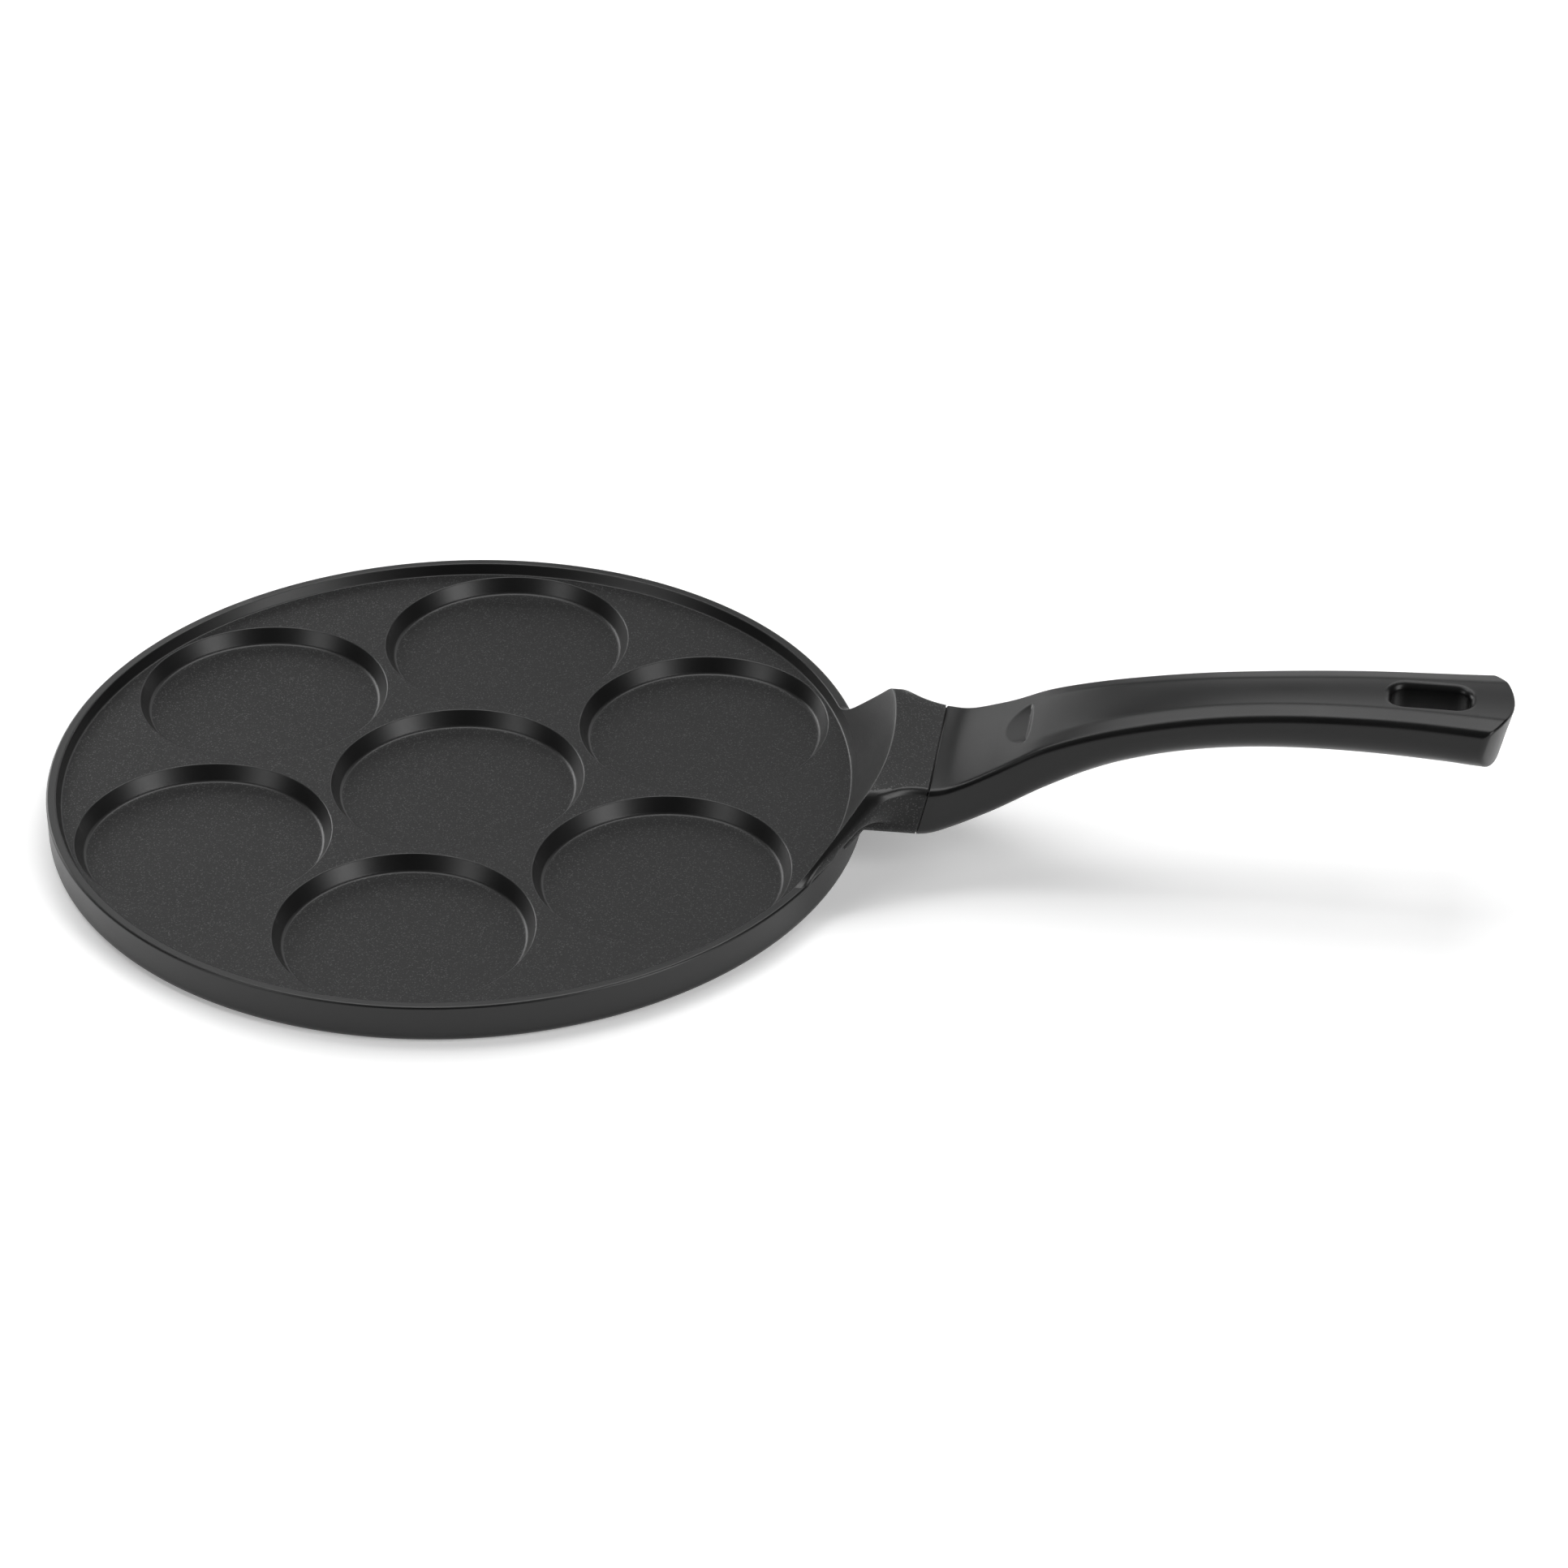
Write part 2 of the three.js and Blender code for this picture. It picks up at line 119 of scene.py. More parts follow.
def piece_of(name, shells, sharp_angle):
    """One object from shells, shaded smooth but for edges sharper than the angle."""
    whole = bmesh.new()
    for shell in shells:
        part = bpy.data.meshes.new(name + "_shell")
        shell.to_mesh(part)
        shell.free()
        whole.from_mesh(part)
        bpy.data.meshes.remove(part)
    mesh = bpy.data.meshes.new(name)
    whole.to_mesh(mesh)
    whole.free()
    mesh.polygons.foreach_set("use_smooth", [True] * len(mesh.polygons))
    mesh.set_sharp_from_angle(angle=math.radians(sharp_angle))
    piece = bpy.data.objects.new(name, mesh)
    bpy.context.scene.collection.objects.link(piece)
    return piece


# The dish: flat plate, rim, outer wall and base in one turned skin
dish = bmesh.new()
dish_profile = [(124.97, PLATE_TOP)]
dish_profile += rounded_corner((124, PLATE_TOP), (PLATE_RADIUS, PLATE_TOP), (RIM_INNER, RIM_TOP), 0.7, 6)
dish_profile += rounded_corner((PLATE_RADIUS, PLATE_TOP), (RIM_INNER, RIM_TOP), (PAN_RADIUS, RIM_TOP), 0.6, 7)
dish_profile += [(127.42, RIM_TOP), (129.08, RIM_TOP)]
dish_profile += rounded_corner((RIM_INNER, RIM_TOP), (PAN_RADIUS, RIM_TOP), (PAN_RADIUS, 0), 0.8, 8)
dish_profile += [(PAN_RADIUS, 12.05), (PAN_RADIUS, 8.0), (PAN_RADIUS, 3.15)]
dish_profile += rounded_corner((PAN_RADIUS, RIM_TOP), (PAN_RADIUS, 0), (0, 0), 3.0, 10)
dish_profile += [(126.85, 0.0)]
dish_rings = turned_rings(dish, dish_profile, ROUND_PAN)
skin(dish, dish_rings, True)
dish.faces.new(dish_rings[-1])

# The wells: one in the middle and six round it, each with a softened lip and floor
well_profile = [(40.75, PLATE_TOP)]
well_profile += rounded_corner((45, PLATE_TOP), (WELL_RADIUS, PLATE_TOP),
                               (WELL_FLOOR_RADIUS, WELL_FLOOR), 0.6, 6)
well_profile += rounded_corner((WELL_RADIUS, PLATE_TOP), (WELL_FLOOR_RADIUS, WELL_FLOOR),
                               (0, WELL_FLOOR), 1.8, 7)
well_profile += [(36.15, WELL_FLOOR)]
well_lips = []
for k in range(7):
    turn = math.radians(60 * k + 30)
    away = WELL_PITCH if k < 6 else 0.0
    rings = turned_rings(dish, well_profile, ROUND_WELL, (away * math.cos(turn), away * math.sin(turn)))
    skin(dish, rings, True)
    dish.faces.new(rings[-1])
    well_lips.append(rings[0])
fill_between(dish, [dish_rings[0]] + well_lips)
close_shell(dish)

# The lug: a scoop rises from the rim to a crest, and its top runs out to the joint with the handle
CREST_TOP = 35.3
CREST_HALF = 30.75
CREST_OUT = 138.96
SCOOP_SLOPE = 0.5407
WING_SLOPE = math.tan(math.radians(52))
NECK_TOP = 33.8
NECK_HALF = 26.0
NECK_BOTTOM = 15.6
NECK_CROWN = 1.2
NECK_ROUND = 6.0
JOINT_X = 153.5
JOINT_TILT = math.radians(13.4)
JOINT_LEAN = math.tan(JOINT_TILT)
FLARE_TURN = math.radians(36.5)
FLARE_SLOPE = math.tan(FLARE_TURN)
FLARE_RADIUS = 15.5
FLARE_ARC = FLARE_RADIUS * math.sin(FLARE_TURN)
GUSSET_DROP = 8.6
GUSSET_LENGTH = 16.0
LUG_EDGE = 2.0
CREST_SOFT = 0.55
EDGE_STEPS = 9
TOP_STEPS = 22
SCOOP_STEPS = 16
CREST_STEPS = 6


def clamp(value, low=0.0, high=1.0):
    return min(max(value, low), high)


def soft_lower(a, b, blend):
    """The lower of two heights, with their corner rounded off."""
    near = max(blend - abs(a - b), 0.0) / blend
    return min(a, b) - near * near * blend / 4


def soft_upper(a, b, blend):
    """The higher of two heights, with their corner filled."""
    return -soft_lower(-a, -b, blend)


def lug_height(x, y):
    """Height of the lug's top: level with a slight crown, falling wings, and a foot on the rim."""
    fall = clamp((x - CREST_OUT) / (JOINT_X - CREST_OUT))
    half = CREST_HALF + (NECK_HALF - CREST_HALF) * fall
    crown = NECK_CROWN * max(1 - (y / half) ** 8, 0.0)
    top = CREST_TOP - (CREST_TOP - NECK_TOP) * fall + crown
    wing = CREST_TOP + 0.4 - (abs(y) - CREST_HALF) * WING_SLOPE
    return soft_upper(soft_lower(top, wing, 2.0), RIM_TOP, 6.0) - 0.06


def scoop_radius(z):
    """Radius of the inner wall, which opens wider above the rim."""
    if z >= RIM_TOP:
        return RIM_INNER + SCOOP_SLOPE * (z - RIM_TOP)
    return RIM_INNER + 0.4118 * (z - RIM_TOP) + 0.04 * clamp((RIM_TOP - z) / 1.3)


def crest_height(turn):
    """Height at which the scoop meets the lug's top, at one angle round the pan."""
    low = 12.0
    high = 40.0
    for _ in range(40):
        middle = (low + high) / 2
        radius = scoop_radius(middle)
        if lug_height(radius * math.cos(turn), radius * math.sin(turn)) > middle:
            low = middle
        else:
            high = middle
    return low


def lug_outline(x):
    """A point on the lug's outer edge in plan: neck, arc, straight flare, then the pan's wall."""
    back = JOINT_X - x
    on_arc = min(back, FLARE_ARC)
    curved = FLARE_RADIUS - math.sqrt(FLARE_RADIUS ** 2 - on_arc ** 2)
    y = NECK_HALF + curved + max(back - FLARE_ARC, 0.0) * FLARE_SLOPE
    turn = math.atan2(y, x)
    radius = soft_upper(math.hypot(x, y), PAN_RADIUS + 0.03, 2.0)
    return radius * math.cos(turn), radius * math.sin(turn)


def lug_spot(shell, x, y, z):
    """A point of the lug, leaned over near the joint because the joint face is tilted."""
    lean = clamp((x - 138.0) / (JOINT_X - 138.0))
    return spot(shell, x + (z - NECK_TOP) * JOINT_LEAN * lean, y, z)


def edge_drop(inside, radius):
    """How far a rounded edge of that radius has fallen, at a distance inside it."""
    if inside >= radius:
        return 0.0
    return radius - math.sqrt(max(radius ** 2 - (radius - inside) ** 2, 0.0))


def lug_column(shell, turn, target):
    """Points up the scoop, over the crest and along the top to a place in plan."""
    top = crest_height(turn)
    crest = Vector((scoop_radius(top) * math.cos(turn), scoop_radius(top) * math.sin(turn), top))
    span = Vector((target[0] - crest.x, target[1] - crest.y))
    soft = min(CREST_SOFT, 0.3 * span.length)
    start = top - 0.88 * soft
    column = []
    for step in range(SCOOP_STEPS + 1):
        z = 11.6 + (start - 11.6) * step / SCOOP_STEPS
        column.append(Vector((scoop_radius(z) * math.cos(turn), scoop_radius(z) * math.sin(turn), z)))
    last = column[-1]
    lead = span.normalized() * soft
    beyond = Vector((crest.x + lead.x, crest.y + lead.y, 0.0))
    beyond.z = lug_height(beyond.x, beyond.y)
    for step in range(1, CREST_STEPS + 1):
        t = step / CREST_STEPS
        column.append(last * (1 - t) ** 2 + crest * 2 * t * (1 - t) + beyond * t * t)
    for step in range(1, TOP_STEPS + 1):
        t = step / TOP_STEPS
        x = beyond.x + (target[0] - beyond.x) * t
        y = beyond.y + (target[1] - beyond.y) * t
        column.append(Vector((x, y, lug_height(x, y))))
    return [lug_spot(shell, *point) for point in column]


def lug_side(shell, x, edge):
    """Points from the lug's outer edge down its side and in to the middle of its underside."""
    on_wall = math.sqrt(max(PAN_RADIUS ** 2 - NECK_HALF ** 2, 0.0))
    clear = clamp((x - on_wall) / NECK_ROUND)
    low = NECK_BOTTOM - GUSSET_DROP * (1 - clear)
    foot = Vector((x, NECK_HALF, low + NECK_ROUND))
    if x < on_wall:
        turn = math.atan2(edge.y, edge.x) - 0.02
        foot = Vector((129.4 * math.cos(turn), 129.4 * math.sin(turn), min(RIM_TOP, edge.z) - 1.2))
    bend = Vector((edge.x, edge.y, edge.z - 0.45 * (edge.z - foot.z)))
    points = []
    for step in range(1, 11):
        t = step / 10
        points.append(edge * (1 - t) ** 2 + bend * 2 * t * (1 - t) + foot * t * t)
    inner = clamp((x - PAN_RADIUS) / GUSSET_LENGTH)
    keel = min(NECK_BOTTOM - GUSSET_DROP * (1 - inner) ** 2, low)
    for step in range(1, 8):
        turn = step / 7 * math.pi / 2
        points.append(Vector((foot.x, NECK_HALF - NECK_ROUND * (1 - math.cos(turn)),
                              low + NECK_ROUND * (1 - math.sin(turn)))))
    for step in range(1, 13):
        t = step / 12
        rise = 0.5 - 0.5 * math.cos(math.pi * clamp(t * 1.9))
        points.append(Vector((foot.x, (NECK_HALF - NECK_ROUND) * (1 - t), low + (keel - low) * rise)))
    if x < on_wall:
        points = points[:10]
    return [lug_spot(shell, *point) for point in points]


lug = bmesh.new()
joint_turn = math.radians(8.2)
edge_zone = LUG_EDGE + 0.8
across = []
for k in range(25):
    v = k / 24
    across.append(lug_column(lug, v * joint_turn, (JOINT_X, v * (NECK_HALF - edge_zone))))
skin(lug, across, False)

LUG_COLUMNS = 72
LUG_LAST_X = 113.0
tops = []
edges_in = []
sides = []
undersides = []
for k in range(LUG_COLUMNS + 1):
    t = k / LUG_COLUMNS
    x = JOINT_X + (LUG_LAST_X - JOINT_X) * t
    outer = Vector(lug_outline(x))
    step = Vector(lug_outline(x - 0.01)) - Vector(lug_outline(x + 0.01 if k else x))
    inward = Vector((-step.y, step.x)).normalized()
    turn = math.atan2(outer.y, outer.x)
    column_turn = turn - (math.atan2(NECK_HALF, JOINT_X) - joint_turn) * (1 - t)
    top = crest_height(column_turn)
    crest = Vector((scoop_radius(top) * math.cos(column_turn), scoop_radius(top) * math.sin(column_turn)))
    room = (outer - crest).length
    edge = min(LUG_EDGE, 0.5 * room)
    inset = edge * (1 + 0.8 / LUG_EDGE)
    start = outer + inward * inset
    tops.append(lug_column(lug, column_turn, (start.x, start.y)))
    rounding = [tops[-1][-1]]
    for n in range(EDGE_STEPS + 1):
        fall = n / EDGE_STEPS * math.pi / 2
        inside = edge * (1 - math.sin(fall))
        place = outer + inward * inside
        lip = Vector((place.x, place.y, lug_height(place.x, place.y) - edge_drop(inside, edge)))
        rounding.append(lug_spot(lug, *lip))
    edges_in.append(rounding)
    down = [rounding[-1]] + lug_side(lug, outer.x, lip)
    if len(down) > 11:
        undersides.append(down[10:])
    sides.append(down[:11])
skin(lug, tops, False)
skin(lug, edges_in, False)
skin(lug, sides, False)
skin(lug, undersides, False)
half_faces = bmesh.ops.duplicate(lug, geom=lug.verts[:] + lug.edges[:] + lug.faces[:])["geom"]
other_half = [part for part in half_faces if isinstance(part, bmesh.types.BMVert)]
for point in other_half:
    point.co.y = -point.co.y
bmesh.ops.remove_doubles(lug, verts=lug.verts, dist=0.002 * MM)
joint_edges = []
for edge in lug.edges:
    ends = [point.co / MM for point in edge.verts]
    if all(abs(p.x - JOINT_X - (p.z - NECK_TOP) * JOINT_LEAN) < 0.002 for p in ends):
        if len(edge.link_faces) == 1:
            joint_edges.append(edge)
bmesh.ops.triangle_fill(lug, use_beauty=True, edges=joint_edges)
close_shell(lug)
lug.faces.ensure_lookup_table()
top_face = max(lug.faces, key=lambda face: face.calc_center_median().z)
if top_face.normal.z < 0:
    bmesh.ops.reverse_faces(lug, faces=lug.faces)

# The tenon: a flat tongue cast on the joint face, bored for the threaded bush
SCREW_X = 160.0
TENON = [(145.0, -13.0), (170.5, -13.0), (170.5, 13.0), (145.0, 13.0)]
TENON_LOW = 25.0
TENON_HIGH = 31.0
tenon = bmesh.new()
tenon_rows = []
for z, inset in [(TENON_LOW, 0.5), (TENON_LOW + 0.5, 0.0), (TENON_HIGH - 0.5, 0.0), (TENON_HIGH, 0.5)]:
    row = []
    for x, y in TENON:
        row.append(spot(tenon, min(x, TENON[1][0] - inset), y - math.copysign(inset, y), z))
    tenon_rows.append(row)
skin(tenon, tenon_rows, True)
seat_profile = [(3.9, TENON_LOW), (3.9, 29.7), (4.9, 29.7), (4.9, TENON_HIGH)]
seat = turned_rings(tenon, seat_profile, 64, (SCREW_X, 0.0))
skin(tenon, seat, True)
fill_between(tenon, [tenon_rows[0], seat[0]])
fill_between(tenon, [tenon_rows[-1], seat[-1]])
close_shell(tenon)

pan_casting = piece_of("pan_casting", [dish, lug, tenon], 38)
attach(pan_casting, "root")
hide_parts("pan_body")

# Coating: two black finishes, with mask groups for grain and for edge wear, whose lighter edge colour is
# partly a painted highlight


def effect_group(name, inputs, outputs):
    """An empty shader node group with named number inputs and outputs."""
    group = bpy.data.node_groups.new(name, "ShaderNodeTree")
    for label, value in inputs:
        socket = group.interface.new_socket(label, in_out="INPUT", socket_type="NodeSocketFloat")
        socket.default_value = value
    for label in outputs:
        group.interface.new_socket(label, in_out="OUTPUT", socket_type="NodeSocketFloat")
    return group, group.nodes.new("NodeGroupInput"), group.nodes.new("NodeGroupOutput")


def node(tree, kind, **settings):
    """A node of one kind, with its settings."""
    made = tree.nodes.new(kind)
    for label, value in settings.items():
        setattr(made, label, value)
    return made


def reckon(tree, operation, first, second):
    """A sum on two values, each a number or a socket."""
    made = node(tree, "ShaderNodeMath", operation=operation)
    for place, value in enumerate((first, second)):
        if isinstance(value, (int, float)):
            made.inputs[place].default_value = value
        else:
            tree.links.new(value, made.inputs[place])
    return made.outputs[0]


def between(tree, value, low, high, from_value=0.0, to_value=1.0):
    """A smooth step of a value between two limits."""
    made = node(tree, "ShaderNodeMapRange", interpolation_type="SMOOTHSTEP")
    tree.links.new(value, made.inputs["Value"])
    made.inputs["From Min"].default_value = low
    made.inputs["From Max"].default_value = high
    made.inputs["To Min"].default_value = from_value
    made.inputs["To Max"].default_value = to_value
    return made.outputs["Result"]


def cloud(tree, place, scale, detail=2.0):
    """Soft noise at a number of lumps per metre."""
    made = node(tree, "ShaderNodeTexNoise")
    made.inputs["Scale"].default_value = scale
    made.inputs["Detail"].default_value = detail
    tree.links.new(place, made.inputs["Vector"])
    return made.outputs["Fac"]


def blend_colours(tree, factor, first, second):
    """Two plain greys or colours mixed by a mask."""
    made = node(tree, "ShaderNodeMix", data_type="RGBA")
    tree.links.new(factor, made.inputs["Factor"])
    for socket, value in ((made.inputs[6], first), (made.inputs[7], second)):
        if isinstance(value, tuple):
            socket.default_value = (*value, 1.0)
        else:
            tree.links.new(value, socket)
    return made.outputs[2]


def bump(tree, height, strength, distance):
    """A normal from a height, with its depth in millimetres."""
    made = node(tree, "ShaderNodeBump")
    made.inputs["Strength"].default_value = strength
    made.inputs["Distance"].default_value = distance * MM
    tree.links.new(height, made.inputs["Height"])
    return made.outputs["Normal"]


def new_finish(name):
    """A material with its tree, its shader and the place on the object."""
    material = bpy.data.materials.new(name)
    material.use_nodes = True
    tree = material.node_tree
    shader = tree.nodes["Principled BSDF"]
    place = node(tree, "ShaderNodeTexCoord").outputs["Object"]
    return material, tree, shader, place


# Edge wear and painted highlight: a mask that is strong on sharp outer edges and broken up by noise. The
# lighter colour it mixes in is partly rubbed coat and partly a painted highlight along the edges.
edge_wear_and_highlight, wear_and_highlight_in, wear_and_highlight_out = effect_group("edge_wear_and_highlight", [("Start", 0.53), ("Full", 0.6), ("Breaks", 300.0)],
                                            ["Wear"])
edge_shape = node(edge_wear_and_highlight, "ShaderNodeNewGeometry")
edge_range = node(edge_wear_and_highlight, "ShaderNodeMapRange", interpolation_type="SMOOTHSTEP")
edge_wear_and_highlight.links.new(edge_shape.outputs["Pointiness"], edge_range.inputs["Value"])
edge_wear_and_highlight.links.new(wear_and_highlight_in.outputs["Start"], edge_range.inputs["From Min"])
edge_wear_and_highlight.links.new(wear_and_highlight_in.outputs["Full"], edge_range.inputs["From Max"])
edge_place = node(edge_wear_and_highlight, "ShaderNodeTexCoord")
edge_noise = node(edge_wear_and_highlight, "ShaderNodeTexNoise")
edge_wear_and_highlight.links.new(edge_place.outputs["Object"], edge_noise.inputs["Vector"])
edge_wear_and_highlight.links.new(wear_and_highlight_in.outputs["Breaks"], edge_noise.inputs["Scale"])
edge_broken = between(edge_wear_and_highlight, edge_noise.outputs["Fac"], 0.35, 0.65, 0.35, 1.0)
edge_wear_and_highlight.links.new(reckon(edge_wear_and_highlight, "MULTIPLY", edge_range.outputs["Result"], edge_broken),
                    wear_and_highlight_out.inputs["Wear"])

# Grain: cells of random brightness, and a few bright glints among them
fleck_grain, grain_in, grain_out = effect_group("fleck_grain", [("Cells", 3000.0), ("Glint limit", 0.9)],
                                                ["Grain", "Glint"])
grain_place = node(fleck_grain, "ShaderNodeTexCoord")
grain_cells = node(fleck_grain, "ShaderNodeTexVoronoi")
fleck_grain.links.new(grain_place.outputs["Object"], grain_cells.inputs["Vector"])
fleck_grain.links.new(grain_in.outputs["Cells"], grain_cells.inputs["Scale"])
grain_parts = node(fleck_grain, "ShaderNodeSeparateColor")
fleck_grain.links.new(grain_cells.outputs["Color"], grain_parts.inputs["Color"])
fleck_grain.links.new(grain_parts.outputs["Red"], grain_out.inputs["Grain"])
grain_glint = reckon(fleck_grain, "GREATER_THAN", grain_parts.outputs["Green"],
                     grain_in.outputs["Glint limit"])
fleck_grain.links.new(grain_glint, grain_out.inputs["Glint"])

COATING_DARK = (0.0012, 0.0012, 0.0012)
COATING_LIGHT = (0.0065, 0.0065, 0.0066)
MICA = (0.05, 0.05, 0.0505)
OUTSIDE_DARK = (0.003, 0.003, 0.003)
OUTSIDE_LIGHT = (0.0042, 0.0042, 0.0043)
# Lighter coat for sharp edges: partly rubbed coat, partly a painted highlight on the roundings.
WORN_AND_HIGHLIT_COAT = (0.05, 0.05, 0.05)

# Inside finish: a matt non-stick coat with mica flecks
grained, tree, shader, place = new_finish("grained_coating")
grain = node(tree, "ShaderNodeGroup", node_tree=fleck_grain)
wear_and_highlight = node(tree, "ShaderNodeGroup", node_tree=edge_wear_and_highlight)
patches = cloud(tree, place, 38.0, 3.0)
fine = cloud(tree, place, 1900.0, 2.0)
mottled = reckon(tree, "ADD", reckon(tree, "MULTIPLY", grain.outputs["Grain"], 0.8),
                 reckon(tree, "MULTIPLY", patches, 0.3))
inside_colour = blend_colours(tree, mottled, COATING_DARK, COATING_LIGHT)
glinting = blend_colours(tree, reckon(tree, "MULTIPLY", grain.outputs["Glint"], 0.7), inside_colour, MICA)
facing = node(tree, "ShaderNodeSeparateXYZ")
tree.links.new(node(tree, "ShaderNodeNewGeometry").outputs["Normal"], facing.inputs[0])
rounded = between(tree, facing.outputs["Z"], 0.985, 0.9995, 1.0, 0.0)
lip_wear_and_highlight = reckon(tree, "MULTIPLY", wear_and_highlight.outputs["Wear"], rounded)
# Roundings turn lighter: partly rubbed coat, partly a painted highlight.
worn_and_highlit = blend_colours(tree, reckon(tree, "MULTIPLY", lip_wear_and_highlight, 0.35), glinting, WORN_AND_HIGHLIT_COAT)
tree.links.new(worn_and_highlit, shader.inputs["Base Color"])
rough = reckon(tree, "ADD", reckon(tree, "MULTIPLY", patches, 0.12), reckon(tree, "MULTIPLY", fine, 0.1))
rough = reckon(tree, "ADD", rough, reckon(tree, "MULTIPLY", grain.outputs["Glint"], -0.14))
rough = reckon(tree, "ADD", rough, reckon(tree, "MULTIPLY", lip_wear_and_highlight, -0.1))
tree.links.new(reckon(tree, "ADD", rough, 0.39), shader.inputs["Roughness"])
relief = reckon(tree, "ADD", reckon(tree, "MULTIPLY", grain.outputs["Grain"], 0.5), fine)
tree.links.new(bump(tree, relief, 0.4, 0.05), shader.inputs["Normal"])
shader.inputs["Specular IOR Level"].default_value = 0.29
pan_casting.data.materials.append(grained)

# Outside finish: a smoother lacquer on walls, rim and base, with turned rings under the base
lacquer, tree, shader, place = new_finish("smooth_lacquer")
wear_and_highlight = node(tree, "ShaderNodeGroup", node_tree=edge_wear_and_highlight)
axes = node(tree, "ShaderNodeSeparateXYZ")
tree.links.new(place, axes.inputs[0])
along_x = reckon(tree, "MULTIPLY", axes.outputs["X"], axes.outputs["X"])
along_y = reckon(tree, "MULTIPLY", axes.outputs["Y"], axes.outputs["Y"])
radius = reckon(tree, "SQRT", reckon(tree, "ADD", along_x, along_y), 0.0)
under = between(tree, axes.outputs["Z"], 0.2 * MM, 0.6 * MM, 1.0, 0.0)
patches = cloud(tree, place, 38.0, 3.0)
fine = cloud(tree, place, 1900.0, 2.0)
black = blend_colours(tree, patches, OUTSIDE_DARK, OUTSIDE_LIGHT)
# Sharp edges of rim, walls and well lips turn lighter: partly rubbed coat, partly a painted highlight.
worn_and_highlit = blend_colours(tree, reckon(tree, "MULTIPLY", wear_and_highlight.outputs["Wear"], 0.35), black, WORN_AND_HIGHLIT_COAT)
tree.links.new(worn_and_highlit, shader.inputs["Base Color"])
rough = reckon(tree, "ADD", reckon(tree, "MULTIPLY", patches, 0.12), reckon(tree, "MULTIPLY", fine, 0.1))
rough = reckon(tree, "ADD", rough, reckon(tree, "MULTIPLY", wear_and_highlight.outputs["Wear"], -0.1))
tree.links.new(reckon(tree, "ADD", rough, 0.26), shader.inputs["Roughness"])
turning = reckon(tree, "SINE", reckon(tree, "MULTIPLY", radius, 5200.0), 0.0)
turning = reckon(tree, "MULTIPLY", reckon(tree, "MULTIPLY", turning, under), 0.35)
relief = reckon(tree, "ADD", reckon(tree, "MULTIPLY", fine, 0.25), turning)
tree.links.new(bump(tree, relief, 0.35, 0.05), shader.inputs["Normal"])
shader.inputs["Specular IOR Level"].default_value = 0.47
pan_casting.data.materials.append(lacquer)

# Flats and the lug's sides take the inside finish, and the rim, walls and roundings take the lacquer
RIM_FROM = 126.8
RIM_BELOW = 13.4
LUG_FROM = 130.2
FLAT_LIMIT = 0.97
UPRIGHT_LIMIT = 0.3
for face in pan_casting.data.polygons:
    away = math.hypot(face.center.x, face.center.y)
    on_rim = away > RIM_FROM * MM and face.center.z < RIM_BELOW * MM
    outward = face.normal.x * face.center.x + face.normal.y * face.center.y > 0
    lug_wall = outward and away > LUG_FROM * MM and face.normal.z < UPRIGHT_LIMIT
    face.material_index = 1 if (on_rim or face.normal.z < FLAT_LIMIT) and not lug_wall else 0


# Handle moulding
# One compression moulding of black phenolic with a satin face, pushed over the tenon of the pan's lug.
# It has a hang slot through its end, a thumb dimple on its slope and a recess below for the screw.
HANDLE_RISE = [(0, 0), (7, 0.7), (18.5, 5.8), (34.5, 13.7), (58.5, 21), (90.5, 26.9),
               (130.5, 30.0), (177, 30.1)]
HANDLE_WIDTH = [(0, 52), (10.5, 46.7), (26.5, 39.4), (58, 32.4), (98, 29), (138, 31), (177, 35.4)]
HANDLE_DEPTH = [(0, 18.2), (22, 17.8), (74, 14.4), (165, 16.2), (177, 16.2)]
JOINT_GAP = 0.4
HANDLE_END = 330.5
END_TOP = 63.9
END_HALF = 17.7
END_RADIUS = 25.0
END_CORNER = 2.5
END_LEAN = math.tan(math.radians(13))
END_EDGE = 0.8
JOINT_EDGE = 0.4
JOINT_LAND = 0.55
FACET_WIDTH = 6.8
FACET_DROP = 1.45
GRIP_DISH = 0.6
GRIP_ROUND = 10.0
GRIP_EDGE = 2.1
SLOT_X = 305.0
SLOT_HALF_LENGTH = 12.0
SLOT_HALF_WIDTH = 5.7
SLOT_CORNER = 4.5
SLOT_EDGE = 2.2
DIMPLE_X = 181.3
DIMPLE_NEAR = 7.3
DIMPLE_FAR = 1.2
DIMPLE_HALF_WIDTH = 10.6
DIMPLE_FALL = 0.23
DIMPLE_RISE = 2.2
RECESS_RADIUS = 5.0
RECESS_TOP = 22.1
SCREW_HOLE = 2.75
SOCKET = [(-13.3, 24.7), (13.3, 24.7), (13.3, 31.3), (-13.3, 31.3)]
SOCKET_END = 170.8
HALF_TOP = 16
handle_start = JOINT_X + JOINT_GAP / math.cos(JOINT_TILT)
end_face = HANDLE_END - END_EDGE


def along(points, distance):
    """A smooth curve of value against distance through a few points, level before the first."""
    last = len(points) - 1

    def slope_at(k):
        before = points[max(k - 1, 0)]
        after = points[min(k + 1, last)]
        return 0.0 if k == 0 else (after[1] - before[1]) / (after[0] - before[0])

    if distance <= points[0][0]:
        return points[0][1]
    k = 0
    while k < last - 1 and distance > points[k + 1][0]:
        k += 1
    span = points[k + 1][0] - points[k][0]
    t = min((distance - points[k][0]) / span, 1.0)
    rise = t * t * (3 - 2 * t)
    start = t * (1 - t) * (1 - t) * slope_at(k) * span
    end = t * t * (t - 1) * slope_at(k + 1) * span
    return points[k][1] + rise * (points[k + 1][1] - points[k][1]) + start + end


def step_up(value, low, high):
    """A smooth step from 0 to 1 between two limits."""
    t = clamp((value - low) / (high - low))
    return t * t * (3 - 2 * t)


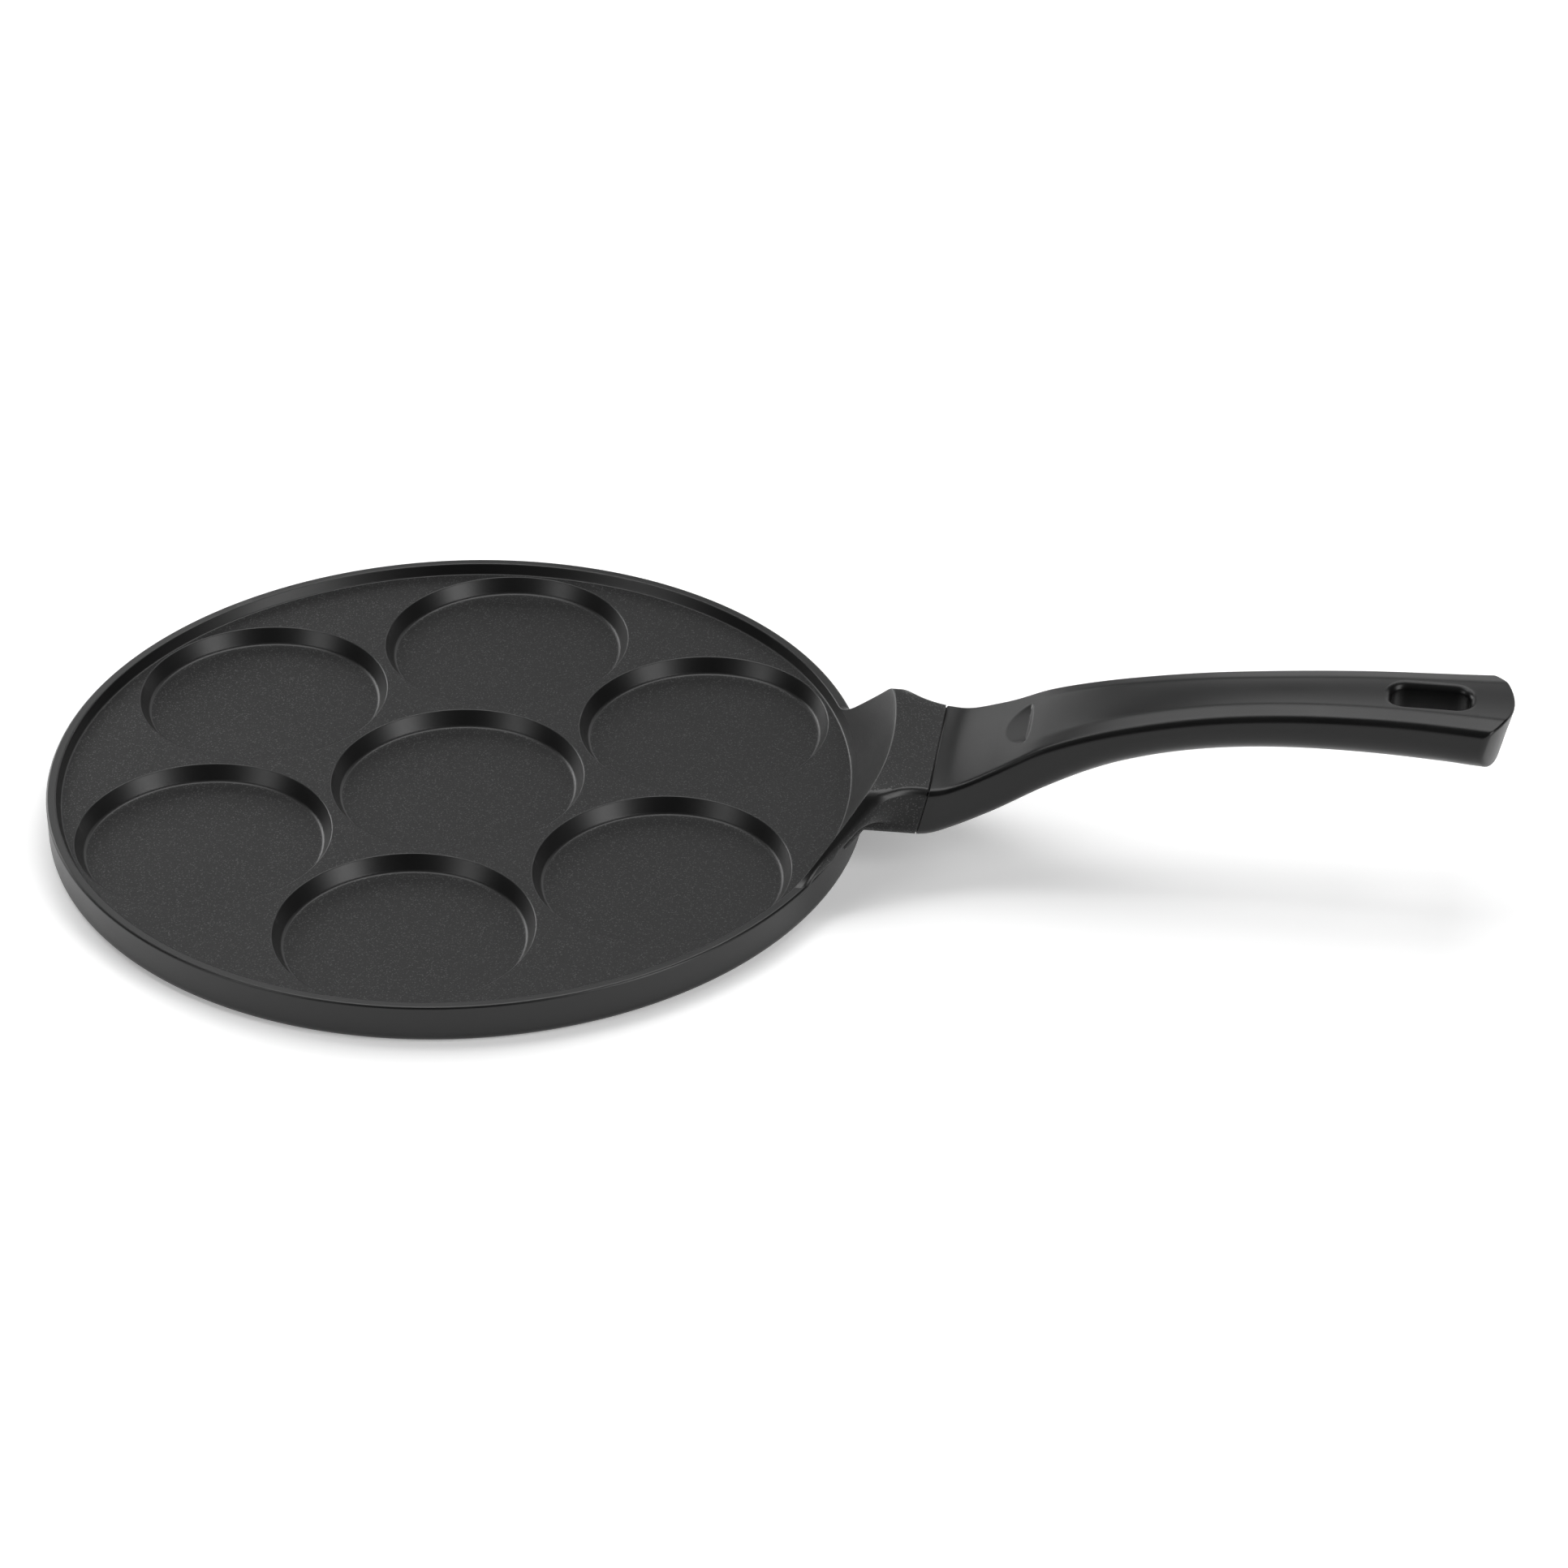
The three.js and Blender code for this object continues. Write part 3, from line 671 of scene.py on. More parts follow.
def grip_section(x):
    """Edge height, bottom height, half width, lower rounding and how far the grip's facets are formed."""
    distance = x - JOINT_X
    ramp = step_up(distance, 20, 60)
    edge = NECK_TOP + along(HANDLE_RISE, distance)
    bottom = edge - along(HANDLE_DEPTH, distance)
    half = along(HANDLE_WIDTH, distance) / 2
    rounding = NECK_ROUND + (GRIP_ROUND - NECK_ROUND) * ramp
    return edge, bottom, half, rounding, ramp


def dimple_depth(x, y):
    """Depth of the thumb dimple: a round edge towards the pan, a flatter floor, and a short wall behind."""
    reach = math.sqrt(max(1 - (y / DIMPLE_HALF_WIDTH) ** 2, 0.0))
    falling = DIMPLE_FALL * (x - DIMPLE_X + DIMPLE_NEAR * reach)
    rising = DIMPLE_RISE * (DIMPLE_X + DIMPLE_FAR * reach - x)
    return max(soft_lower(falling, rising, 0.5), 0.0)


def grip_top(x, y):
    """Height of the grip's top: arched at the joint, then a dished middle between two facets."""
    edge, bottom, half, rounding, ramp = grip_section(x)
    crease = half - FACET_WIDTH
    arch = NECK_CROWN * (1 - (y / half) ** 2)
    dished = FACET_DROP - GRIP_DISH * (1 - (y / crease) ** 2)
    facet = FACET_DROP * (half - abs(y)) / FACET_WIDTH
    formed = soft_lower(dished, facet, 0.3)
    height = edge + arch + (formed - arch) * ramp
    return height - edge_drop(half - abs(y), GRIP_EDGE) - dimple_depth(x, y)


def grip_bottom(x, y):
    """Height of the grip's rounded underside."""
    edge, bottom, half, rounding, ramp = grip_section(x)
    beyond = max(abs(y) - (half - rounding), 0.0)
    return bottom + rounding - math.sqrt(max(rounding ** 2 - beyond ** 2, 0.0))


def end_limit(y, z):
    """How far the leaning, rounded end face reaches at one place."""
    inner = END_RADIUS - END_CORNER
    corner_y = END_HALF - END_CORNER
    corner_x = math.sqrt(inner ** 2 - corner_y ** 2)
    if abs(y) <= END_RADIUS * corner_y / inner:
        out = math.sqrt(END_RADIUS ** 2 - y ** 2)
    else:
        out = corner_x + math.sqrt(max(END_CORNER ** 2 - (abs(y) - corner_y) ** 2, 0.0))
    return HANDLE_END - END_RADIUS + out - (END_TOP - z) * END_LEAN


def seated(x, y, z, out):
    """Moves a point of the straight loft to fit the tilted joint and the rounded end."""
    near_joint = 1 - step_up(x, handle_start, handle_start + 40)
    moved = x + (z - NECK_TOP) * JOINT_LEAN * near_joint
    begin = 320.0 - 22.0 * out
    if x > begin:
        t = (x - begin) / (end_face - begin)
        moved -= (HANDLE_END - end_limit(y, z)) * t ** 1.25
    return moved, y, z


def grip_half(x):
    """Half a section from the top's middle to the bottom's: width, height and how far out each point is."""
    edge, bottom, half, rounding, ramp = grip_section(x)
    crease = half - FACET_WIDTH
    points = []
    for k in range(HALF_TOP + 1):
        y = crease * k / HALF_TOP
        points.append((y, grip_top(x, y), 0.0))
    for k in range(1, 7):
        y = crease + (FACET_WIDTH - GRIP_EDGE) * k / 6
        points.append((y, grip_top(x, y), (y - crease) / FACET_WIDTH))
    for k in range(1, 10):
        turn = k / 9 * math.pi / 2
        y = half - GRIP_EDGE * (1 - math.sin(turn))
        points.append((y, grip_top(x, y), (y - crease) / FACET_WIDTH))
    high = points[-1][1]
    low = bottom + rounding
    for k in range(1, 9):
        points.append((half, high + (low - high) * k / 8, 1.0))
    last_turn = math.asin((rounding - FACET_WIDTH) / rounding)
    for k in range(1, 12):
        turn = math.pi / 2 + (last_turn - math.pi / 2) * k / 11
        y = half - rounding + rounding * math.sin(turn)
        points.append((y, grip_bottom(x, y), (y - crease) / FACET_WIDTH))
    for k in range(HALF_TOP - 1, -1, -1):
        y = crease * k / HALF_TOP
        points.append((y, grip_bottom(x, y), 0.0))
    return points


def grip_ring(x):
    """A full section, the half and its mirror image."""
    half = grip_half(x)
    return half + [(-y, z, out) for y, z, out in reversed(half[1:-1])]


def pulled_in(ring, amount):
    """A section moved inwards by an amount, for rounding the edge of an end."""
    count = len(ring)
    inner = []
    for k, (y, z, out) in enumerate(ring):
        before = ring[k - 1]
        after = ring[(k + 1) % count]
        run = Vector((after[0] - before[0], after[1] - before[1])).normalized()
        inner.append((y + run.y * amount, z - run.x * amount, out))
    return inner


stations = [handle_start + JOINT_EDGE]
for first, last, step in [(155.0, 171.0, 1.0), (171.4, 191.8, 0.4), (193.0, 289.0, 1.2), (290.0, 320.0, 1.0),
                          (320.7, end_face - 0.3, 0.8)]:
    while first <= last + 1e-6:
        stations.append(first)
        first += step
stations.append(end_face)

grip = bmesh.new()
grip_rows = []
grip_count = len(grip_ring(200.0))
bottom_middle = grip_count // 2
slot_zone = [stations.index(x) for x in stations if 290.0 - 1e-6 <= x <= 320.0 + 1e-6]
recess_zone = [stations.index(x) for x in stations if 157.0 - 1e-6 <= x <= 171.0 + 1e-6]
RECESS_COLUMNS = 6


def in_hole(row, column):
    """Whether a point of the loft lies inside a zone that is rebuilt round a hole."""
    from_top = min(column, grip_count - column)
    from_bottom = abs(column - bottom_middle)
    if slot_zone[0] < row < slot_zone[-1] and min(from_top, from_bottom) < HALF_TOP:
        return True
    return recess_zone[0] < row < recess_zone[-1] and from_bottom < RECESS_COLUMNS


for row, x in enumerate(stations):
    made = []
    for column, (y, z, out) in enumerate(grip_ring(x)):
        made.append(None if in_hole(row, column) else spot(grip, *seated(x, y, z, out)))
    grip_rows.append(made)
for row in range(len(stations) - 1):
    for column in range(grip_count):
        following = (column + 1) % grip_count
        corners = [grip_rows[row][column], grip_rows[row][following],
                   grip_rows[row + 1][following], grip_rows[row + 1][column]]
        from_top = min(column + 0.5, grip_count - column - 0.5)
        from_bottom = abs(column + 0.5 - bottom_middle)
        over_slot = slot_zone[0] <= row < slot_zone[-1] and min(from_top, from_bottom) < HALF_TOP
        over_recess = recess_zone[0] <= row < recess_zone[-1] and from_bottom < RECESS_COLUMNS
        if not over_slot and not over_recess:
            grip.faces.new(corners)

# The joint end: a small rounding, then a land that stands proud of it and holds the socket for the tenon
joint_rows = [grip_rows[0]]
for k in range(1, 5):
    turn = k / 4 * math.pi / 2
    row = []
    for y, z, out in pulled_in(grip_ring(handle_start), JOINT_EDGE * (1 - math.cos(turn))):
        x = handle_start + JOINT_EDGE * (1 - math.sin(turn))
        row.append(spot(grip, *seated(x, y, z, 0.0)))
    joint_rows.append(row)
land_x = handle_start - 0.9 * JOINT_GAP
for x in (handle_start, land_x):
    row = []
    for y, z, out in pulled_in(grip_ring(handle_start), JOINT_LAND):
        row.append(spot(grip, *seated(x, y, z, 0.0)))
    joint_rows.append(row)
skin(grip, joint_rows, True)
mouth = []
socket_back = []
for y, z in SOCKET:
    mouth.append(spot(grip, land_x + (z - NECK_TOP) * JOINT_LEAN, y, z))
    socket_back.append(spot(grip, SOCKET_END, y, z))
fill_between(grip, [joint_rows[-1], mouth])
skin(grip, [mouth, socket_back], True)

# The far end: a rounded edge, then rings over the curved end face
end_rows = [grip_rows[-1]]
for k in range(1, 8):
    turn = k / 7 * math.pi / 2
    row = []
    for y, z, out in pulled_in(grip_ring(end_face), END_EDGE * (1 - math.cos(turn))):
        row.append(spot(grip, end_limit(y, z) - END_EDGE * (1 - math.sin(turn)), y, z))
    end_rows.append(row)
last_ring = pulled_in(grip_ring(end_face), END_EDGE)
middle_z = (last_ring[0][1] + last_ring[bottom_middle][1]) / 2
for share in (0.97, 0.85, 0.65, 0.4, 0.15):
    row = []
    for y, z, out in last_ring:
        inner_y = y * share
        inner_z = middle_z + (z - middle_z) * share
        row.append(spot(grip, end_limit(inner_y, inner_z), inner_y, inner_z))
    end_rows.append(row)
skin(grip, end_rows, True)
grip.faces.new(end_rows[-1])


def zone_border(zone, columns, middle):
    """The points round a zone of the loft in order, with where each lies along and across it."""
    border = []
    last = grip_rows[zone[-1]]
    first = grip_rows[zone[0]]
    for k in range(-columns, columns + 1):
        border.append((last[(middle + k) % grip_count], "front", k / columns))
    for row in reversed(zone[1:-1]):
        border.append((grip_rows[row][(middle + columns) % grip_count], "right", stations[row]))
    for k in range(columns, -columns - 1, -1):
        border.append((first[(middle + k) % grip_count], "back", k / columns))
    for row in zone[1:-1]:
        border.append((grip_rows[row][(middle - columns) % grip_count], "left", stations[row]))
    return border


def slot_outline(side, value):
    """A point on the hang slot's outline and the way out from it, matched to a point of the zone's border."""
    quarter = SLOT_CORNER * math.pi / 4
    flat_x = SLOT_HALF_LENGTH - SLOT_CORNER
    flat_y = SLOT_HALF_WIDTH - SLOT_CORNER
    if side in ("front", "back"):
        way = 1 if side == "front" else -1
        s = value * (flat_y + quarter)
        turn = max(abs(s) - flat_y, 0.0) / SLOT_CORNER
        out = Vector((way * math.cos(turn), math.copysign(math.sin(turn), s)))
        base = Vector((way * flat_x, clamp(s, -flat_y, flat_y)))
    else:
        way = 1 if side == "right" else -1
        s = (value - SLOT_X) / 15.0 * (flat_x + quarter)
        turn = max(abs(s) - flat_x, 0.0) / SLOT_CORNER
        out = Vector((math.copysign(math.sin(turn), s), way * math.cos(turn)))
        base = Vector((clamp(s, -flat_x, flat_x), way * flat_y))
    return Vector((SLOT_X, 0.0)) + base + out * SLOT_CORNER, out


def slot_face(middle, height, way):
    """Rows from the zone's border in to the slot's rounded edge, on the top or the underside."""
    border = zone_border(slot_zone, HALF_TOP, middle)
    outlines = []
    for point, side, value in border:
        if middle and side in ("front", "back"):
            value = -value
        if middle and side in ("left", "right"):
            side = "left" if side == "right" else "right"
        outlines.append(slot_outline(side, value))
    rows = [[point for point, side, value in border]]
    for share in (0.75, 0.5, 0.25):
        row = []
        for (point, side, value), (edge, out) in zip(border, outlines):
            near = edge + out * (SLOT_EDGE + 0.15)
            x = near.x + (point.co.x / MM - near.x) * share
            y = near.y + (point.co.y / MM - near.y) * share
            row.append(spot(grip, x, y, height(x, y)))
        rows.append(row)
    for inside in [SLOT_EDGE + 0.15] + [SLOT_EDGE * (1 - math.sin(k / 8 * math.pi / 2)) for k in range(9)]:
        row = []
        for edge, out in outlines:
            place = edge + out * inside
            row.append(spot(grip, place.x, place.y,
                            height(place.x, place.y) - way * edge_drop(inside, SLOT_EDGE)))
        rows.append(row)
    skin(grip, rows, True)
    return rows[-1]


upper_edge = slot_face(0, grip_top, 1)
lower_edge = slot_face(bottom_middle, grip_bottom, -1)
lower_by_place = {}
for point in lower_edge:
    lower_by_place[(round(point.co.x / MM, 3), round(point.co.y / MM, 3))] = point
wall_rows = [upper_edge]
lower_match = [lower_by_place[(round(p.co.x / MM, 3), round(p.co.y / MM, 3))] for p in upper_edge]
for k in range(1, 6):
    row = []
    for high, low in zip(upper_edge, lower_match):
        row.append(grip.verts.new(high.co + (low.co - high.co) * k / 6))
    wall_rows.append(row)
wall_rows.append(lower_match)
skin(grip, wall_rows, True)


def under_height(x):
    """Height of the grip's underside on the middle line, at a place measured after the joint's tilt."""
    loft_x = x
    for _ in range(12):
        z = grip_bottom(loft_x, 0.0)
        loft_x = x + loft_x - seated(loft_x, 0.0, z, 0.0)[0]
    return grip_bottom(loft_x, 0.0)


# The screw's recess: a softened lip, a round wall, a ledge for the washer and a hole to the socket
recess_border = zone_border(recess_zone, RECESS_COLUMNS, bottom_middle)
recess_rows = [[point for point, side, value in recess_border]]
ways = []
for point, side, value in recess_border:
    ways.append(Vector((point.co.x / MM - SCREW_X, point.co.y / MM)).normalized())
for reach, lift in [(6.0, 0.0), (5.45, 0.0), (5.2, 0.05), (5.06, 0.18), (RECESS_RADIUS, 0.4)]:
    row = []
    for out in ways:
        x = SCREW_X + out.x * reach
        row.append(spot(grip, x, out.y * reach, under_height(x) + lift))
    recess_rows.append(row)
for reach, z in [(RECESS_RADIUS, RECESS_TOP), (SCREW_HOLE, RECESS_TOP), (SCREW_HOLE, 24.7)]:
    row = []
    for out in ways:
        row.append(spot(grip, SCREW_X + out.x * reach, out.y * reach, z))
    recess_rows.append(row)
skin(grip, recess_rows, True)
fill_between(grip, [socket_back])
close_shell(grip)

handle_moulding = piece_of("handle_moulding", [grip], 38)
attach(handle_moulding, "root")
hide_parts("handle_grip")

phenolic, tree, shader, place = new_finish("black_phenolic")
PHENOLIC_DARK = (0.0024, 0.0024, 0.0024)
PHENOLIC_LIGHT = (0.0048, 0.0048, 0.0049)
wear_and_highlight = node(tree, "ShaderNodeGroup", node_tree=edge_wear_and_highlight)
wear_and_highlight.inputs["Breaks"].default_value = 120.0
handled = cloud(tree, place, 45.0, 3.0)
skin_grain = cloud(tree, place, 1500.0, 2.0)
flow = cloud(tree, place, 14.0, 1.0)
colour = blend_colours(tree, reckon(tree, "ADD", reckon(tree, "MULTIPLY", handled, 0.6),
                                    reckon(tree, "MULTIPLY", skin_grain, 0.4)), PHENOLIC_DARK, PHENOLIC_LIGHT)
worn_and_highlit = blend_colours(tree, reckon(tree, "MULTIPLY", wear_and_highlight.outputs["Wear"], 0.25), colour, (0.03, 0.03, 0.03))
tree.links.new(worn_and_highlit, shader.inputs["Base Color"])
rough = reckon(tree, "ADD", reckon(tree, "MULTIPLY", handled, 0.12),
               reckon(tree, "MULTIPLY", skin_grain, 0.06))
tree.links.new(reckon(tree, "ADD", rough, 0.25), shader.inputs["Roughness"])
relief = reckon(tree, "ADD", reckon(tree, "MULTIPLY", skin_grain, 0.15), flow)
tree.links.new(bump(tree, relief, 0.12, 0.05), shader.inputs["Normal"])
shader.inputs["Specular IOR Level"].default_value = 0.33
handle_moulding.data.materials.append(phenolic)


# Handle screw
# One pan-head machine screw of zinc-plated steel, driven up from below through the washer into the bush.
# Its head sits in the grip's recess with the cross slot facing down.
HEAD_LOW = 18.1
HEAD_HIGH = 20.7
HEAD_RADIUS = 4.25
SHANK_RADIUS = 2.35
SHANK_TIP = 30.2
THREAD_PITCH = 0.8
THREAD_DEPTH = 0.22
CROSS_HALF = 2.3
CROSS_THIN = 0.55
CROSS_DEPTH = 1.5
ROUND_SCREW = 48
screw = bmesh.new()
head_profile = [(2.9, HEAD_LOW)]
head_profile += rounded_corner((0, HEAD_LOW), (HEAD_RADIUS, HEAD_LOW), (HEAD_RADIUS, HEAD_HIGH), 0.9, 7)
head_profile += rounded_corner((HEAD_RADIUS, HEAD_LOW), (HEAD_RADIUS, HEAD_HIGH), (0, HEAD_HIGH), 0.15, 3)
head_profile += [(SHANK_RADIUS, HEAD_HIGH)]
head_rings = turned_rings(screw, head_profile, ROUND_SCREW, (SCREW_X, 0.0))
skin(screw, head_rings, True)


def cross_loop(height, spread):
    """The twelve corners of a cross slot at one height, narrowing with depth."""
    long = CROSS_HALF * spread
    thin = CROSS_THIN * spread
    corners = [(long, -thin), (long, thin), (thin, thin), (thin, long), (-thin, long), (-thin, thin),
               (-long, thin), (-long, -thin), (-thin, -thin), (-thin, -long), (thin, -long), (thin, -thin)]
    return [spot(screw, SCREW_X + x, y, height) for x, y in corners]


cross_rows = [cross_loop(HEAD_LOW, 1.0), cross_loop(HEAD_LOW + CROSS_DEPTH, 0.72)]
fill_between(screw, [head_rings[0], cross_rows[0]])
skin(screw, cross_rows, True)
screw.faces.new(cross_rows[1])
thread_rows = [head_rings[-1]]
thread_steps = 96
for k in range(1, thread_steps + 1):
    z = HEAD_HIGH + (SHANK_TIP - HEAD_HIGH) * k / thread_steps
    row = []
    for n in range(ROUND_SCREW):
        turn = 2 * math.pi * n / ROUND_SCREW
        phase = (z / THREAD_PITCH - n / ROUND_SCREW) % 1.0
        groove = THREAD_DEPTH * (1 - abs(2 * phase - 1)) * step_up(z, HEAD_HIGH, HEAD_HIGH + 0.6)
        radius = SHANK_RADIUS - groove - 0.7 * step_up(z, SHANK_TIP - 0.8, SHANK_TIP)
        row.append(spot(screw, SCREW_X + radius * math.cos(turn), radius * math.sin(turn), z))
    thread_rows.append(row)
skin(screw, thread_rows, True)
screw.faces.new(thread_rows[-1])
close_shell(screw)
steel_screw = piece_of("steel_screw", [screw], 30)
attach(steel_screw, "root")
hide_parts("handle_screw")


def steel_finish(name, dark, light, rough_from, rough_to):
    """A steel with fine streaks, mottled plating and edges rubbed bright."""
    material, tree, shader, place = new_finish(name)
    stretch = node(tree, "ShaderNodeMapping")
    stretch.inputs["Scale"].default_value = (1.0, 1.0, 9.0)
    tree.links.new(place, stretch.inputs["Vector"])
    streaks = cloud(tree, stretch.outputs["Vector"], 1600.0, 3.0)
    mottle = cloud(tree, place, 420.0, 3.0)
    wear_and_highlight = node(tree, "ShaderNodeGroup", node_tree=edge_wear_and_highlight)
    wear_and_highlight.inputs["Breaks"].default_value = 900.0
    colour = blend_colours(tree, mottle, dark, light)
    tree.links.new(blend_colours(tree, reckon(tree, "MULTIPLY", wear_and_highlight.outputs["Wear"], 0.5), colour,
                                 (0.7, 0.7, 0.7)), shader.inputs["Base Color"])
    rough = reckon(tree, "ADD", reckon(tree, "MULTIPLY", streaks, rough_to - rough_from), rough_from)
    tree.links.new(rough, shader.inputs["Roughness"])
    tree.links.new(bump(tree, streaks, 0.2, 0.02), shader.inputs["Normal"])
    shader.inputs["Metallic"].default_value = 1.0
    return material


zinc_plate = steel_finish("zinc_plate", (0.42, 0.43, 0.44), (0.56, 0.565, 0.57), 0.24, 0.46)
steel_screw.data.materials.append(zinc_plate)


# Lock washer
# One split ring of hardened spring steel between the screw's head and the ledge in the grip.
# It is coiled from square wire and cut on the slant, and its ends are left a millimetre apart.
WASHER_INNER = 2.65
WASHER_OUTER = 4.6
WASHER_LOW = 20.8
WASHER_HIGH = 22.0
washer = bmesh.new()
wire = []
for before, corner, after in [
        ((WASHER_INNER, WASHER_HIGH), (WASHER_INNER, WASHER_LOW), (WASHER_OUTER, WASHER_LOW)),
        ((WASHER_INNER, WASHER_LOW), (WASHER_OUTER, WASHER_LOW), (WASHER_OUTER, WASHER_HIGH)),
        ((WASHER_OUTER, WASHER_LOW), (WASHER_OUTER, WASHER_HIGH), (WASHER_INNER, WASHER_HIGH)),
        ((WASHER_OUTER, WASHER_HIGH), (WASHER_INNER, WASHER_HIGH), (WASHER_INNER, WASHER_LOW))]:
    wire += rounded_corner(before, corner, after, 0.18, 3)
washer_rows = []
for k in range(73):
    row = []
    for radius, z in wire:
        slant = 0.12 * (z - WASHER_LOW) / (WASHER_HIGH - WASHER_LOW) * (1 - k / 72)
        turn = 0.14 + slant + (2 * math.pi - 0.28 - 0.06) * k / 72
        row.append(spot(washer, SCREW_X + radius * math.cos(turn), radius * math.sin(turn), z))
    washer_rows.append(row)
skin(washer, washer_rows, True)
washer.faces.new(washer_rows[0])
washer.faces.new(washer_rows[-1])
close_shell(washer)
split_washer = piece_of("split_washer", [washer], 38)
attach(split_washer, "root")
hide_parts("lock_washer")
blued_steel = steel_finish("blued_spring_steel", (0.2, 0.205, 0.215), (0.33, 0.335, 0.345), 0.3, 0.5)
split_washer.data.materials.append(blued_steel)


# Threaded bush
# One turned bush of zinc-plated steel, pressed down into the tenon's bore until its flange seats.
# Its outside is knurled to hold in the aluminium, and its bore is threaded for the screw.
BUSH_RADIUS = 3.6
BUSH_FLANGE_RADIUS = 4.6
BUSH_BORE = 2.65
bush = bmesh.new()
bush_rows = []
ROUND_BUSH = 96
bush_outside = [(BUSH_BORE + 0.2, TENON_LOW), (BUSH_RADIUS - 0.3, TENON_LOW), (BUSH_RADIUS, TENON_LOW + 0.3),
                (BUSH_RADIUS, TENON_LOW + 0.7), (BUSH_RADIUS, 29.0), (BUSH_RADIUS, 29.8)]
bush_outside += [(BUSH_FLANGE_RADIUS - 0.1, 29.8), (BUSH_FLANGE_RADIUS, 29.9), (BUSH_FLANGE_RADIUS, 30.9),
                 (BUSH_FLANGE_RADIUS - 0.1, TENON_HIGH), (BUSH_BORE + 0.2, TENON_HIGH)]
bore_steps = 60
bush_bore = []
for k in range(bore_steps + 1):
    bush_bore.append((None, TENON_HIGH - (TENON_HIGH - TENON_LOW) * k / bore_steps))
for radius, z in bush_outside + bush_bore[1:-1]:
    row = []
    for n in range(ROUND_BUSH):
        turn = 2 * math.pi * n / ROUND_BUSH
        reach = radius
        if radius is None:
            phase = (z / THREAD_PITCH - n / ROUND_BUSH) % 1.0
            reach = BUSH_BORE + 0.15 * (1 - abs(2 * phase - 1))
        elif radius == BUSH_RADIUS and TENON_LOW + 0.5 < z < 29.5:
            reach = radius - 0.15 * (n % 2)
        row.append(spot(bush, SCREW_X + reach * math.cos(turn), reach * math.sin(turn), z))
    bush_rows.append(row)
skin(bush, bush_rows + [bush_rows[0]], True)
close_shell(bush)
knurled_bush = piece_of("knurled_bush", [bush], 30)
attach(knurled_bush, "root")
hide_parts("threaded_bush")
knurled_bush.data.materials.append(zinc_plate)


# Floor and light
# A plain white paper floor that the pan stands on, under one broad soft light from above and behind.
# Smaller soft lights stand round it: two in front, one high at the left, and three low at the back.
# The room is a plain dark grey.
floor_shape = bmesh.new()
bmesh.ops.create_circle(floor_shape, cap_ends=True, radius=4.0, segments=96)
for point in floor_shape.verts:
    point.co.z = -0.0003
floor_mesh = bpy.data.meshes.new("floor")
floor_shape.to_mesh(floor_mesh)
floor_shape.free()
floor = bpy.data.objects.new("floor", floor_mesh)
bpy.context.scene.collection.objects.link(floor)
paper, tree, shader, place = new_finish("white_paper")
paper_grain = cloud(tree, place, 700.0, 2.0)
tree.links.new(blend_colours(tree, paper_grain, (0.93, 0.93, 0.93), (0.95, 0.95, 0.95)),
               shader.inputs["Base Color"])
shader.inputs["Roughness"].default_value = 0.95
shader.inputs["Specular IOR Level"].default_value = 0.1
seen = node(tree, "ShaderNodeLightPath")
seen_bounced = reckon(tree, "MAXIMUM", seen.outputs["Is Glossy Ray"], seen.outputs["Is Transmission Ray"])
seen_white = reckon(tree, "MAXIMUM", seen.outputs["Is Camera Ray"], seen_bounced)
PAPER_GLOW = 0.25
glow = node(tree, "ShaderNodeEmission")
tree.links.new(reckon(tree, "MULTIPLY", seen_white, PAPER_GLOW), glow.inputs["Strength"])
both = node(tree, "ShaderNodeAddShader")
tree.links.new(shader.outputs[0], both.inputs[0])
tree.links.new(glow.outputs[0], both.inputs[1])
tree.links.new(both.outputs[0], tree.nodes["Material Output"].inputs["Surface"])
floor_mesh.materials.append(paper)

room = bpy.data.worlds.new("room")
bpy.context.scene.world = room
room.use_nodes = True
room_light = room.node_tree.nodes["Background"]
room_light.inputs["Color"].default_value = (1.0, 1.0, 1.0, 1.0)
room_light.inputs["Strength"].default_value = 0.02


